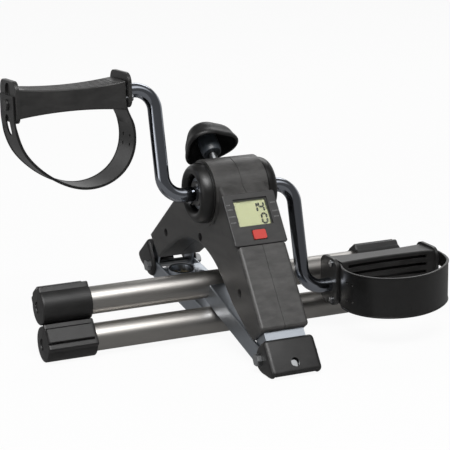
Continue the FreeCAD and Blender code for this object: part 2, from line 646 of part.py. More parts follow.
def pedals():
    x0 = PEDAL_X
    x1 = PEDAL_X + PEDAL_LEN
    inner = prism(plate_side(PLATE_DOWN_IN), x0, x0 + PLATE_T)
    inner = round_edges(inner, 1.0, lambda e: e.BoundBox.XLength < 1e-6 and abs(e.BoundBox.Center.x - x0) < 1e-6)
    inner = inner.cut(rod(x0 - 1, x0 + 10, (0, 0), ROD_R + RUN_GAP))
    outer = prism(plate_side(PLATE_DOWN_OUT), x1 - PLATE_T, x1)
    outer = round_edges(outer, 1.0, lambda e: e.BoundBox.XLength < 1e-6 and abs(e.BoundBox.Center.x - x1) < 1e-6)
    outer = outer.cut(rod(x1 - 2.2, x1 + 1, (-4.0, 9.0), 8.5))
    for s in strap_screws_at():
        inner = inner.cut(rod(x0 - 1, x0 + 10, s, SCREW_SHANK))
        outer = outer.cut(rod(x1 - 10, x1 + 10, s, SCREW_SHANK))
        outer = outer.cut(rod(x1 - 1.9, x1 + 10, s, SCREW_SHANK + 1.9))
    neck = rod(x1 - 0.5, x1 + STRAP_T + 3 * STRAP_GAP, BUTTON_AT, BUTTON_NECK)
    head = rod(x1 + STRAP_T + 2 * STRAP_GAP, x1 + STRAP_T + 2.0, BUTTON_AT, BUTTON_NECK + 2.2)
    outer = fuse(outer, neck, head)
    bar = tread()
    screws = []
    for s in strap_screws_at():
        bar = bar.cut(rod(TREAD_X0 - 1, TREAD_X0 + 9.0, s, SCREW_SHANK))
        bar = bar.cut(rod(TREAD_X1 - 9.0, TREAD_X1 + 1, s, SCREW_SHANK))
        head = rod(x0 - 1.8, x0, s, SCREW_SHANK + 1.8)
        screws.append(head.fuse(rod(x0 - 0.5, TREAD_X0 + 8.0, s, SCREW_SHANK)))
        head = rod(x1 - 1.8, x1 - 0.3, s, SCREW_SHANK + 1.8)
        screws.append(head.fuse(rod(TREAD_X1 - 8.0, x1 - 0.5, s, SCREW_SHANK)))
    screws = Part.makeCompound(screws)
    clip = tube(SPINDLE_END - CLIP_BACK - CLIP_T, SPINDLE_END - CLIP_BACK, (0, 0), CLIP_R, ROD_R - CLIP_GROOVE)
    gap = slab(-1, 400, [(0, -2.0), (20, -2.0), (20, 2.0), (0, 2.0)])
    clip = clip.cut(gap)
    band = strap()
    for name, way in (("left", -1), ("right", 1)):
        save("pedal_plate_inner_" + name, put(inner, way))
        save("pedal_plate_outer_" + name, put(outer, way))
        save("pedal_tread_" + name, put(bar, way))
        save("pedal_strap_" + name, put(band, way))
        save("pedal_screws_" + name, put(screws, way))
        save("pedal_clip_" + name, put(clip, way))


# ---- hinge blocks, bolts and lock pins ----------------------------------------------------

LOCK_OFF = 13.0                     # lock pin from the bolt, along the leg
LOCK_F = HINGE_F[0] + LOCK_OFF
LOCK_RR = HINGE_R[0] + LOCK_OFF
LOCK_R = 3.0
LOCK_TRAVEL = 5.0
CHEEK_IN = FRAME_HALF + SLIDE_GAP + SHEET + SLIDE_GAP


def hinge_block(leg, bolt, face):
    """Plastic yoke over the hinge: a face plate and two cheeks around the leg's end."""
    bu, bn = bolt
    u0 = bu - BLOCK_UP
    u1 = bu + BLOCK_DOWN

    k = BLOCK_ROUND * (1 - math.sqrt(0.5))
    side = outline([
        leg.at(u0, face - BLOCK_ROUND), (*leg.at(u0 + k, face - k), "arc"), leg.at(u0 + BLOCK_ROUND, face),
        leg.at(u1 - BLOCK_ROUND, face), (*leg.at(u1 - k, face - k), "arc"), leg.at(u1, face - BLOCK_ROUND),
        leg.at(u1 + 0.3, face - 8.6), leg.at(bu + 10.7, bn - 8.5), leg.at(bu + 4.0, bn - 12.5),
        leg.at(bu - 8.0, bn - 9.0), leg.at(u0 - 1.5, bn + 3.0)])
    body = prism(side, -BLOCK_HALF, BLOCK_HALF)
    body = rim(body, BLOCK_HALF, BLOCK_RIM)
    body = body.cut(leg_box(leg, -CHEEK_IN, CHEEK_IN, u0 - 40, u1 + 40, bn - 60, face - BLOCK_FACE))
    body = body.cut(rod(-60, 60, leg.at(bu, bn), BOLT_R + RUN_GAP))
    return body


def hinges():
    face_r = REAR_N - BLOCK_DROP_R
    front = hinge_block(FRONT, HINGE_F, FACE_N)
    rear = hinge_block(REAR, HINGE_R, face_r)
    for leg, bolt, face, name, body in ((FRONT, HINGE_F, FACE_N, "front", front),
                                        (REAR, HINGE_R, face_r, "rear", rear)):
        u = bolt[0] + LOCK_OFF
        body = body.cut(leg_pin(leg, 0, u, face - 20, face + 5, LOCK_R + 1.6))
        # guide tube for the lock pin behind the face
        guide = leg_pin(leg, 0, u, bolt[1] + 9.0, face - BLOCK_FACE + 0.01, LOCK_R + 5.6)
        guide = guide.cut(leg_pin(leg, 0, u, bolt[1], face + 5, LOCK_R + 3.4))
        floor = leg_pin(leg, 0, u, bolt[1] + 7.4, bolt[1] + 9.0, LOCK_R + 5.6)
        floor = floor.cut(leg_pin(leg, 0, u, bolt[1], face + 5, LOCK_R + RUN_GAP))
        body = fuse(body, guide, floor)
        save("hinge_block_" + name, body)
        shaft = leg_pin(leg, 0, u, bolt[1] + 1.0, face - 2.5, LOCK_R)
        collar = leg_pin(leg, 0, u, bolt[1] + 11.0 + 3.0, bolt[1] + 11.0 + 4.6, LOCK_R + 1.3)
        save("lock_pin_" + name, shaft.fuse(collar))
    bolts, nuts = [], []
    for at in (BOLT_F, BOLT_RR):
        head = hex_prism(-BLOCK_HALF - 4.4, -BLOCK_HALF, at, 11.0)
        head = head.common(rod(-BLOCK_HALF - 4.4, -BLOCK_HALF, at, 6.0))
        bolts.append(head.fuse(rod(-BLOCK_HALF - 0.1, BLOCK_HALF + 7.0, at, BOLT_R)))
        nut = hex_prism(BLOCK_HALF, BLOCK_HALF + 5.6, at, 11.0).cut(rod(0, 60, at, BOLT_R))
        nuts.append(nut)
    save("hinge_bolts", *bolts)
    save("hinge_nuts", *nuts)


# ---- folding legs -----------------------------------------------------------------------

def along(bolt, angle, s, v):
    """A point of a folded leg: s from its bolt towards the tube, v above that line."""
    a = math.radians(angle)
    d = (math.cos(a), math.sin(a))
    up = (-d[1], d[0]) if d[0] > 0 else (d[1], -d[0])
    return (bolt[0] + s * d[0] + v * up[0], bolt[1] + s * d[1] + v * up[1])


WEB_START = 26.0
LEG_INNER = FRAME_HALF + SLIDE_GAP
LEG_OUTER = LEG_INNER + SHEET


def leg_channel(bolt, angle, length, hole_x):
    tube_at = along(bolt, angle, length, 0)

    def pt(s, v):
        return along(bolt, angle, s, v)
    k = 9.0
    wall = [pt(-9.0, 3.0), pt(-4.0, WEB_V), pt(length, WEB_V), pt(length, -LEG_DEEP), pt(4.0, -LEG_DEEP + 2.0),
            pt(-6.0, -k)]
    body = slab(-LEG_OUTER, LEG_OUTER, wall)
    body = round_edges(body, 1.6, lambda e: abs(e.BoundBox.XLength) < 1e-6 and e.Length > 60
                       and e.BoundBox.Center.z > pt(length / 2, 0)[1])
    body = body.cut(slab(-LEG_INNER, LEG_INNER, [pt(-40, WEB_V - SHEET), pt(length + 5, WEB_V - SHEET),
                                                pt(length + 5, -60), pt(-40, -60)]))
    # the web stops short of the hinge so that the frame's end fits between the walls
    body = body.cut(slab(-LEG_INNER, LEG_INNER, [pt(-40, WEB_V + 5), pt(WEB_START, WEB_V + 5),
                                                pt(WEB_START, -60), pt(-40, -60)]))
    body = body.cut(rod(-60, 60, bolt, BOLT_R + RUN_GAP))
    body = body.cut(rod(-60, 60, tube_at, TUBE_R + 0.02))
    up = Vec(0, *pt(0, 1)) - Vec(0, *pt(0, 0))
    for x, s, r in ((hole_x, WEB_START + 17.0, 13.0), (15.0, WEB_START + 22.0, 3.2), (0.0, length - 42.0, 8.0)):
        c = pt(s, 0)
        body = body.cut(Part.makeCylinder(r, 30, Vec(x, c[0], c[1]), up))
    return body


def cap(way, tube_at, pad_angle):
    """Rubber tube cap with a flat foot pad along it; built for the right end and mirrored."""
    x1 = TUBE_HALF + CAP_WALL
    x0 = x1 - CAP_LEN
    pad = [(0, -PAD_HALF - 2.0), (PAD_OUT - 3.0, -PAD_HALF - 2.0), (PAD_OUT - 2.0, -PAD_HALF),
           (PAD_OUT, -PAD_HALF + 1.0), (PAD_OUT, PAD_HALF - 1.0), (PAD_OUT - 2.0, PAD_HALF),
           (PAD_OUT - 3.0, PAD_HALF + 2.0), (0, PAD_HALF + 2.0)]
    body = fuse(rod(x0, x1, (0, 0), CAP_R), slab(x0, x1, pad))
    body = round_edges(body, 1.5, lambda e: e.BoundBox.XLength < 1e-6 and abs(e.BoundBox.Center.x - x1) < 1e-6)
    for y in (-PAD_HALF / 2, PAD_HALF / 2):
        body = body.cut(slab(x0 - 1, x1 - 4.0, [(PAD_OUT - 1.2, y - 0.8), (PAD_OUT + 1, y - 0.8),
                                               (PAD_OUT + 1, y + 0.8), (PAD_OUT - 1.2, y + 0.8)]))
    body = body.cut(rod(x0 - 1, TUBE_HALF, (0, 0), TUBE_R + 0.02))
    if way < 0:
        body = mirrored(body)
    body = body.copy()
    body.Placement = FreeCAD.Placement(Vec(0, tube_at[0], tube_at[1]),
                                       FreeCAD.Rotation(Vec(1, 0, 0), pad_angle)).multiply(body.Placement)
    return body


def legs():
    for name, bolt, angle, length, unfold, hole_x in (
            ("front", BOLT_F, FOLD_F, LEG_LEN_F, -UNFOLD_F, 0.0),
            ("rear", BOLT_RR, 180.0 + FOLD_R, LEG_LEN_R, UNFOLD_R, -7.0)):
        at = along(bolt, angle, length, 0)
        save(name + "_leg_channel", leg_channel(bolt, angle, length, hole_x))
        save(name + "_tube", tube(-TUBE_HALF, TUBE_HALF, at, TUBE_R, TUBE_R - TUBE_WALL))
        # the pads face the floor once the leg has swung out
        floor_angle = -90.0 + STAND_TILT
        pad_angle = floor_angle - unfold
        for side, way in (("left", -1), ("right", 1)):
            save(name + "_cap_" + side, cap(way, at, pad_angle))


def stand_tilt():
    """Slope of the line under both tubes when the machine stands."""
    ends = []
    for bolt, angle, length, unfold in ((BOLT_F, FOLD_F, LEG_LEN_F, -UNFOLD_F),
                                        (BOLT_RR, 180.0 + FOLD_R, LEG_LEN_R, UNFOLD_R)):
        a = math.radians(angle + unfold)
        ends.append((bolt[0] + length * math.cos(a), bolt[1] + length * math.sin(a)))
    return math.degrees(math.atan2(ends[1][1] - ends[0][1], ends[1][0] - ends[0][0]))


STAND_TILT = stand_tilt()


# ---- console ------------------------------------------------------------------------------

TRAY_TOP = CONSOLE_TOP + 4.0
TRAY_LEN = CONSOLE_LEN - 5.2
TRAY_HALF = 22.0
TRAY_WALL = 1.6
TRAY_FLOOR_N = 26.0
GLASS_T = 1.2
BOARD_T = 1.6
SENSOR_X = 12.5
SENSOR_W = 4.0


def console():
    base = FACE_N - CONSOLE_SEAT
    top, end = CONSOLE_TOP, CONSOLE_TOP + CONSOLE_LEN
    plate = leg_box(FRONT, -CONSOLE_HALF, CONSOLE_HALF, top, end, base, FACE_N + 0.2)
    plate = round_edges(plate, 2.2, lambda e: abs(e.BoundBox.XLength) < 1e-6
                        and abs(e.Length - (FACE_N + 0.2 - base)) < 1e-6)
    plate = round_edges(plate, 0.9, lambda e: e.Length > 2.9 and all(
        abs(Vec(0, v.Y, v.Z).dot(FRONT.out()) - FACE_N - 0.2) < 1e-6 for v in e.Vertexes))
    # lugs that overhang the narrower legs are only as deep as the plate; the tray goes inside
    tray = leg_box(FRONT, -TRAY_HALF, TRAY_HALF, TRAY_TOP, TRAY_TOP + TRAY_LEN, TRAY_FLOOR_N, base + 0.1)
    tray = tray.cut(leg_box(FRONT, -TRAY_HALF + TRAY_WALL, TRAY_HALF - TRAY_WALL, TRAY_TOP + TRAY_WALL,
                            TRAY_TOP + TRAY_LEN - TRAY_WALL, TRAY_FLOOR_N + TRAY_WALL, base + 5))
    case = plate.fuse(tray)
    case = case.cut(leg_box(FRONT, -WINDOW_HALF, WINDOW_HALF, WINDOW_TOP, WINDOW_TOP + WINDOW_LEN, base - 1, 60))
    b0, b1 = BUTTON_TOP, BUTTON_TOP + BUTTON_LEN
    case = case.cut(leg_box(FRONT, -BUTTON_HALF, BUTTON_HALF, b0, b1, base - 1, 60))
    case = case.removeSplitter()
    save("console_case", case)
    glass = leg_box(FRONT, -WINDOW_HALF + 0.1, WINDOW_HALF - 0.1, WINDOW_TOP + 0.1, WINDOW_TOP + WINDOW_LEN - 0.1,
                    base + 0.2, base + 0.2 + GLASS_T)
    save("lcd_glass", glass)
    lcd = leg_box(FRONT, -WINDOW_HALF - 0.8, WINDOW_HALF + 0.8, WINDOW_TOP - 0.3, WINDOW_TOP + WINDOW_LEN + 1.0,
                  base - 2.6, base)
    save("lcd_panel", lcd)
    board_n = TRAY_FLOOR_N + TRAY_WALL + 2.4
    board = leg_box(FRONT, -TRAY_HALF + TRAY_WALL + 0.4, TRAY_HALF - TRAY_WALL - 0.4, TRAY_TOP + TRAY_WALL + 0.4,
                    TRAY_TOP + TRAY_LEN - TRAY_WALL - 0.4, board_n, board_n + BOARD_T)
    for x in (-14.0, 14.0):
        for u in (TRAY_TOP + 8.0, TRAY_TOP + TRAY_LEN - 8.0):
            post = leg_pin(FRONT, x, u, TRAY_FLOOR_N + TRAY_WALL, board_n, 1.8)
            board = board.fuse(post)
    stem = leg_box(FRONT, -10.0, 10.0, WINDOW_TOP + 3.0, WINDOW_TOP + WINDOW_LEN - 3.0, board_n + BOARD_T, base - 2.6)
    switch = leg_pin(FRONT, 0, (b0 + b1) / 2, board_n + BOARD_T, board_n + BOARD_T + 1.0, 3.0)
    save("circuit_board", fuse(board, switch))
    save("display_connector", stem)
    cell = leg_pin(FRONT, 15.0, (b0 + b1) / 2, board_n + BOARD_T, board_n + BOARD_T + 3.0, 4.4)
    save("button_cell", cell)
    low = board_n + BOARD_T + 1.0 + BUTTON_TRAVEL + 0.35
    head = leg_box(FRONT, -BUTTON_HALF + 0.35, BUTTON_HALF - 0.35, b0 + 0.35, b1 - 0.35, low, FACE_N + 1.6)
    head = round_edges(head, 1.4, lambda e: abs(e.BoundBox.XLength) < 1e-6
                       and abs(e.Length - (FACE_N + 1.6 - low)) < 1e-6)
    flange = leg_box(FRONT, -BUTTON_HALF - 1.0, BUTTON_HALF + 1.0, b0 - 0.8, b1 + 0.8, low, base - 0.35)
    save("reset_button", head.fuse(flange).removeSplitter())
    arm = leg_box(FRONT, SENSOR_X, SENSOR_X + SENSOR_W, -4.0, TRAY_TOP + 10.0, TRAY_FLOOR_N - 3.0, TRAY_FLOOR_N)
    probe = leg_box(FRONT, SENSOR_X, SENSOR_X + SENSOR_W, -4.0, 3.0, SLEEVE_R + 0.6, TRAY_FLOOR_N - 2.0)
    save("speed_sensor", fuse(arm, probe))


# ---- tension knob ---------------------------------------------------------------------------

def knob_axis():
    a = math.radians(KNOB_TILT)
    return Vec(0, math.cos(a), math.sin(a))


def knob_pin(r0, r1, r):
    """A bar along the knob's axis between two distances from the crank axis."""
    return Part.makeCylinder(r, r1 - r0, knob_axis() * r0 + Vec(KNOB_X, 0, 0), knob_axis())


def lobed(r, lobe, z):
    """A closed three-lobed curve at height z."""
    pts = []
    for k in range(36):
        a = math.radians(10 * k)
        q = r + lobe * math.cos(3 * a)
        pts.append(Vec(q * math.cos(a), q * math.sin(a), z))
    curve = Part.BSplineCurve()
    curve.interpolate(pts, True)
    return Part.Wire(curve.toShape())


KNOB_WALL = 2.6
KNOB_TURN = 8.0         # one lobe points this far above the user's right
SHOE_T = 3.6
PAD_T = 2.5
INSERT_R = 8.0
INSERT_TOP = 29.4
PAD_R = 8.0


def knob():
    h = KNOB_TALL
    low = BOSS_LOW - KNOB_LOW
    skin = ((KNOB_R, KNOB_LOBE, 0.0), (KNOB_R + 0.4, KNOB_LOBE, h * 0.3), (KNOB_R - 3.5, KNOB_LOBE * 0.9, h * 0.75),
            (KNOB_R - 9.0, KNOB_LOBE * 0.7, h))
    outer = Part.makeLoft([lobed(*s) for s in skin], True)
    room = ((KNOB_R - KNOB_WALL, KNOB_LOBE, -0.5), (KNOB_R - KNOB_WALL, KNOB_LOBE, h * 0.3),
            (KNOB_R - 3.5 - 2 * KNOB_WALL, KNOB_LOBE * 0.9, h * 0.75))
    hollow = Part.makeLoft([lobed(*s) for s in room], True)
    body = outer.cut(hollow)
    body = body.fuse(Part.makeCylinder(8.0, h * 0.9 - low, Vec(0, 0, low)))
    for k in range(3):
        web = Part.makeBox(KNOB_R - 5.0, 1.8, h * 0.7, Vec(0, -0.9, h * 0.25))
        web.rotate(Vec(0, 0, 0), Vec(0, 0, 1), 120 * k + 60)
        body = body.fuse(web.common(outer))
    depth = h * 0.6 - low
    body = body.cut(Part.makeCylinder(SCREW_R, depth, Vec(0, 0, low)))
    # turn about the axis first, then lean the axis back
    body = body.copy()
    body.Placement = FreeCAD.Placement(
        knob_axis() * KNOB_LOW + Vec(KNOB_X, 0, 0),
        FreeCAD.Rotation(Vec(1, 0, 0), KNOB_TILT - 90).multiply(FreeCAD.Rotation(Vec(0, 0, 1), KNOB_TURN)))
    save("tension_knob", body)
    pad_in = SLEEVE_R + SLIDE_GAP
    shoe_at = pad_in + PAD_T
    screw = knob_pin(shoe_at + SHOE_T, BOSS_LOW + depth, SCREW_R)
    save("tension_screw", screw)
    insert = knob_pin(22.0, INSERT_TOP, INSERT_R).cut(knob_pin(20.0, 40.0, SCREW_R + RUN_GAP))
    save("screw_insert", insert)
    pad = knob_pin(pad_in - 4.0, shoe_at, PAD_R).cut(rod(-40, 40, (0, 0), pad_in))
    save("friction_pad", pad)
    shoe = knob_pin(shoe_at, shoe_at + SHOE_T, PAD_R)
    save("pressure_shoe", shoe)


housing()
frame()
hub()
crank()
pedals()
hinges()
legs()
console()
knob()
shift = finish()
for name, at in (("front hinge", BOLT_F), ("rear hinge", BOLT_RR)):
    print(name, [round(v, 4) for v in Vec(0, *at) + shift])
for name, way in (("left pedal", -1), ("right pedal", 1)):
    print(name, [round(v, 4) for v in crank_point(way, 0, THROW) + shift])
print("knob axis", list(knob_axis()), "leg faces", list(FRONT.out()), list(REAR.out()))
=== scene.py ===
import json
import math
import bpy
import numpy as np
from mathutils import Matrix, Vector


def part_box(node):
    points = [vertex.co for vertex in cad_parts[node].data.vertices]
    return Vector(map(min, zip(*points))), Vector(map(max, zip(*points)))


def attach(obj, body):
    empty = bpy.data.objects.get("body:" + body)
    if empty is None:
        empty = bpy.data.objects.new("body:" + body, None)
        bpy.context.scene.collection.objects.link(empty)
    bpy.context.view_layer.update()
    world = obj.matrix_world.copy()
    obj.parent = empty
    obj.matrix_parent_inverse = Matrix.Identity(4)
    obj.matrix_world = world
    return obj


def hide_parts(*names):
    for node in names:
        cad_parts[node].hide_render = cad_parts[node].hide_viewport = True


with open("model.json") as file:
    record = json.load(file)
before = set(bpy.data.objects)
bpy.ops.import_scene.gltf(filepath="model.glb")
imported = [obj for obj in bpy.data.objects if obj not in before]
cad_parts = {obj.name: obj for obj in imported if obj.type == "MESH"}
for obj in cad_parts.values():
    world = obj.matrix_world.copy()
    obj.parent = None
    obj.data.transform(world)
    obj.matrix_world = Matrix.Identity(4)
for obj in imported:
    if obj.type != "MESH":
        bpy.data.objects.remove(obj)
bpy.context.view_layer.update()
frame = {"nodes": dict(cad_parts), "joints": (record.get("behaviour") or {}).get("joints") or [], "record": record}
nodes = frame["nodes"]
jointAt = {j["name"]: np.array(j["pos_m"]) for j in frame["joints"] if "pos_m" in j}
crankAt = jointAt["crank_turn"]
mm = 0.001
print("frame loaded:", len(nodes), "nodes")


def gridFaces(nu, nv, closeU):
    # corner numbers of every quad, rows closed round: (u, v), (u+1, v), (u+1, v+1), (u, v+1);
    # an open grid also gets its first and last row as flat ends, the last one wound the other way
    u = np.arange(nu if closeU else nu - 1)[:, None]
    v = np.arange(nv)[None, :]
    u1, v1 = (u + 1) % nu, (v + 1) % nv
    faces = np.stack([u * nv + v, u1 * nv + v, u1 * nv + v1, u * nv + v1], -1).reshape(-1, 4).tolist()
    if not closeU:
        faces += [list(range(nv)), list(range(nu * nv - 1, (nu - 1) * nv - 1, -1))]
    return faces


def signedVolume(points, faces):
    # sum over every face's fan triangles (a, b, c) of a . (b x c) / 6, for all faces of one size at once
    total = 0.0
    for size in sorted({len(face) for face in faces}):
        p = points[np.array([face for face in faces if len(face) == size])]
        total += np.sum(np.cross(p[:, 1:-1], p[:, 2:]) * p[:, :1])
    return total / 6


def newPiece(name, points, faces, sharp=35):
    # a mesh with smooth faces, creased where two of them meet at more than the sharp angle
    if signedVolume(points, faces) < 0:
        faces = [face[::-1] for face in faces]
    mesh = bpy.data.meshes.new(name)
    mesh.from_pydata(points.tolist(), [], faces)
    mesh.validate()
    mesh.polygons.foreach_set("use_smooth", np.ones(len(mesh.polygons), bool))
    mesh.set_sharp_from_angle(angle=math.radians(sharp))
    piece = bpy.data.objects.new(name, mesh)
    bpy.context.scene.collection.objects.link(piece)
    return piece


def gridPiece(name, grid, closeU=False, sharp=35):
    # grid[u, v] is a point, and every row runs round along v
    return newPiece(name, grid.reshape(-1, 3), gridFaces(*grid.shape[:2], closeU), sharp)


def joinGrids(name, grids, sharp=35):
    # several closed grids kept as one piece, each turned to face outwards by itself
    points, faces, start = [], [], 0
    for grid in grids:
        p = grid.reshape(-1, 3)
        own = gridFaces(*grid.shape[:2], False)
        if signedVolume(p - p.mean(0), own) < 0:
            own = [face[::-1] for face in own]
        points.append(p)
        faces += [[corner + start for corner in face] for face in own]
        start += len(p)
    return newPiece(name, np.concatenate(points), faces, sharp)


def turned(profile, centre, axis, steps=96):
    # a profile of (along, radius) turned about an axis: centre + along*axis + radius*(cos a, sin a)
    axis = np.asarray(axis, float) / np.linalg.norm(axis)
    side = np.cross(axis, (1, 0, 0) if abs(axis[0]) < 0.9 else (0, 0, 1))
    side /= np.linalg.norm(side)
    up = np.cross(axis, side)
    profile = np.asarray(profile, float)
    a = np.linspace(0, 2 * np.pi, steps, endpoint=False)
    ring = np.cos(a)[:, None] * side + np.sin(a)[:, None] * up
    return centre + profile[:, None, :1] * axis + profile[:, None, 1:] * ring[None]


def turnedSolid(name, profile, centre, axis, steps=96, sharp=35):
    # a closed profile turned all the way round
    return gridPiece(name, turned(profile, centre, axis, steps), closeU=True, sharp=sharp)


def roundCorners(points, radius, steps=5):
    # each corner of a closed polygon becomes a curve: quadratic between points at the radius from it
    p = np.asarray(points, float)
    r = np.broadcast_to(np.asarray(radius, float), len(p))
    before, after = np.roll(p, 1, 0) - p, np.roll(p, -1, 0) - p
    lb, la = np.linalg.norm(before, axis=1), np.linalg.norm(after, axis=1)
    cut = np.minimum(r, 0.48 * np.minimum(lb, la))[:, None]
    a, b = p + before / lb[:, None] * cut, p + after / la[:, None] * cut
    t = np.linspace(0, 1, steps)[None, :, None]
    curve = (1 - t) ** 2 * a[:, None] + 2 * t * (1 - t) * p[:, None] + t ** 2 * b[:, None]
    return curve.reshape(-1, p.shape[1])


def smoothLine(points, count):
    # natural cubic spline through the points, evenly sampled by chord length
    p = np.asarray(points, float)
    s = np.concatenate([[0], np.cumsum(np.linalg.norm(np.diff(p, axis=0), axis=1))])
    h = np.diff(s)
    n = len(p)
    m = np.eye(n)
    rhs = np.zeros_like(p)
    i = np.arange(1, n - 1)
    m[i, i - 1], m[i, i], m[i, i + 1] = h[:-1], 2 * (h[:-1] + h[1:]), h[1:]
    slope = np.diff(p, axis=0) / h[:, None]
    rhs[1:-1] = 6 * np.diff(slope, axis=0)
    k = np.linalg.solve(m, rhs)
    t = np.linspace(0, s[-1], count)
    j = np.clip(np.searchsorted(s, t) - 1, 0, n - 2)
    a, b, w = (s[j + 1] - t)[:, None], (t - s[j])[:, None], h[j][:, None]
    return ((k[j] * a ** 3 + k[j + 1] * b ** 3) / (6 * w) + (p[j] / w - k[j] * w / 6) * a
            + (p[j + 1] / w - k[j + 1] * w / 6) * b)


def cutAway(piece, cutters):
    # removes each cutter's room from the piece, then deletes the cutters
    for cutter in cutters:
        change = piece.modifiers.new("cut", "BOOLEAN")
        change.operation, change.solver, change.object = "DIFFERENCE", "EXACT", cutter
    bpy.context.view_layer.update()
    solid = bpy.data.meshes.new_from_object(piece.evaluated_get(bpy.context.evaluated_depsgraph_get()))
    piece.modifiers.clear()
    piece.data = solid
    solid.polygons.foreach_set("use_smooth", np.ones(len(solid.polygons), bool))
    solid.set_sharp_from_angle(angle=math.radians(35))
    for cutter in cutters:
        bpy.data.objects.remove(cutter)
    return piece


def newGroup(name, inputs, outputs):
    # an empty shader group with its named sockets
    group = bpy.data.node_groups.new(name, "ShaderNodeTree")
    for label, kind, value in inputs:
        socket = group.interface.new_socket(label, in_out="INPUT", socket_type=kind)
        if value is not None:
            socket.default_value = value
    for label, kind in outputs:
        group.interface.new_socket(label, in_out="OUTPUT", socket_type=kind)
    return group, group.nodes.new("NodeGroupInput"), group.nodes.new("NodeGroupOutput")


def mathNode(tree, operation, a, b=0.0, clamp=False):
    # one sum of two values or sockets
    node = tree.nodes.new("ShaderNodeMath")
    node.operation, node.use_clamp = operation, clamp
    for socket, value in zip(node.inputs, (a, b)):
        if isinstance(value, (int, float)):
            socket.default_value = value
        else:
            tree.links.new(value, socket)
    return node.outputs[0]


def noiseNode(tree, vector, scale, detail, rough):
    # cloudy noise from 0 to 1
    node = tree.nodes.new("ShaderNodeTexNoise")
    node.inputs["Detail"].default_value = detail
    node.inputs["Roughness"].default_value = rough
    tree.links.new(vector, node.inputs["Vector"])
    if isinstance(scale, (int, float)):
        node.inputs["Scale"].default_value = scale
    else:
        tree.links.new(scale, node.inputs["Scale"])
    return node.outputs["Fac"]


# shared by every plastic: how wide its clouds, wiped streaks and waves are, and how much of them shows in gloss
mouldSize = dict(cloudScale=28.0, waveScale=42.0, streakStretch=(60.0, 22.0, 190.0), glossShare=0.3)


def buildMoulded():
    # spark-eroded mould grain, cloudy tone and faint wiped streaks
    g, i, o = newGroup("mouldedPlastic", [
        ("Vector", "NodeSocketVector", None), ("Color", "NodeSocketColor", None),
        ("Roughness", "NodeSocketFloat", 0.5), ("Grain Scale", "NodeSocketFloat", 900.0),
        ("Cloud", "NodeSocketFloat", 0.2), ("Streak", "NodeSocketFloat", 0.1),
        ("Wave", "NodeSocketFloat", 5.0)],
        [("Color", "NodeSocketColor"), ("Roughness", "NodeSocketFloat"), ("Height", "NodeSocketFloat")])
    grain = noiseNode(g, i.outputs["Vector"], i.outputs["Grain Scale"], 2.0, 0.5)
    cloud = noiseNode(g, i.outputs["Vector"], mouldSize["cloudScale"], 4.0, 0.6)
    stretch = g.nodes.new("ShaderNodeMapping")
    stretch.inputs["Scale"].default_value = mouldSize["streakStretch"]
    g.links.new(i.outputs["Vector"], stretch.inputs["Vector"])
    streak = noiseNode(g, stretch.outputs[0], 1.0, 3.0, 0.6)
    lift = mathNode(g, "MULTIPLY", mathNode(g, "SUBTRACT", cloud, 0.5), i.outputs["Cloud"])
    wipe = mathNode(g, "MULTIPLY", mathNode(g, "SUBTRACT", streak, 0.5), i.outputs["Streak"])
    tone = mathNode(g, "ADD", 1.0, mathNode(g, "MULTIPLY", mathNode(g, "ADD", lift, wipe), 2.0))
    scale = g.nodes.new("ShaderNodeVectorMath")
    scale.operation = "SCALE"
    g.links.new(i.outputs["Color"], scale.inputs[0])
    g.links.new(tone, scale.inputs["Scale"])
    g.links.new(scale.outputs[0], o.inputs["Color"])
    change = mathNode(g, "MULTIPLY", mathNode(g, "ADD", lift, wipe), mouldSize["glossShare"])
    g.links.new(mathNode(g, "ADD", i.outputs["Roughness"], change, True), o.inputs["Roughness"])
    wave = noiseNode(g, i.outputs["Vector"], mouldSize["waveScale"], 1.0, 0.4)
    waves = mathNode(g, "MULTIPLY", wave, i.outputs["Wave"])
    g.links.new(mathNode(g, "ADD", grain, waves), o.inputs["Height"])
    return g


drawnSize = dict(stainScale=22.0)


def buildDrawn():
    # metal drawn or rolled along one way: long fine streaks, faint stains and spots
    g, i, o = newGroup("drawnMetal", [
        ("Vector", "NodeSocketVector", None), ("Color", "NodeSocketColor", None),
        ("Roughness", "NodeSocketFloat", 0.3), ("Along", "NodeSocketVector", None),
        ("Streak", "NodeSocketFloat", 0.1), ("Stain", "NodeSocketFloat", 0.1)],
        [("Color", "NodeSocketColor"), ("Roughness", "NodeSocketFloat"), ("Height", "NodeSocketFloat")])
    stretch = g.nodes.new("ShaderNodeVectorMath")
    stretch.operation = "MULTIPLY"
    g.links.new(i.outputs["Vector"], stretch.inputs[0])
    g.links.new(i.outputs["Along"], stretch.inputs[1])
    streak = noiseNode(g, stretch.outputs[0], 1.0, 4.0, 0.65)
    stain = noiseNode(g, i.outputs["Vector"], drawnSize["stainScale"], 5.0, 0.65)
    line = mathNode(g, "MULTIPLY", mathNode(g, "SUBTRACT", streak, 0.5), i.outputs["Streak"])
    spot = mathNode(g, "MULTIPLY", mathNode(g, "SUBTRACT", stain, 0.5), i.outputs["Stain"])
    tone = mathNode(g, "ADD", 1.0, mathNode(g, "ADD", line, spot))
    scale = g.nodes.new("ShaderNodeVectorMath")
    scale.operation = "SCALE"
    g.links.new(i.outputs["Color"], scale.inputs[0])
    g.links.new(tone, scale.inputs["Scale"])
    g.links.new(scale.outputs[0], o.inputs["Color"])
    rough = mathNode(g, "SUBTRACT", i.outputs["Roughness"], mathNode(g, "ADD", line, spot), True)
    g.links.new(rough, o.inputs["Roughness"])
    g.links.new(streak, o.inputs["Height"])
    return g


mouldedGroup = buildMoulded()
drawnGroup = buildDrawn()

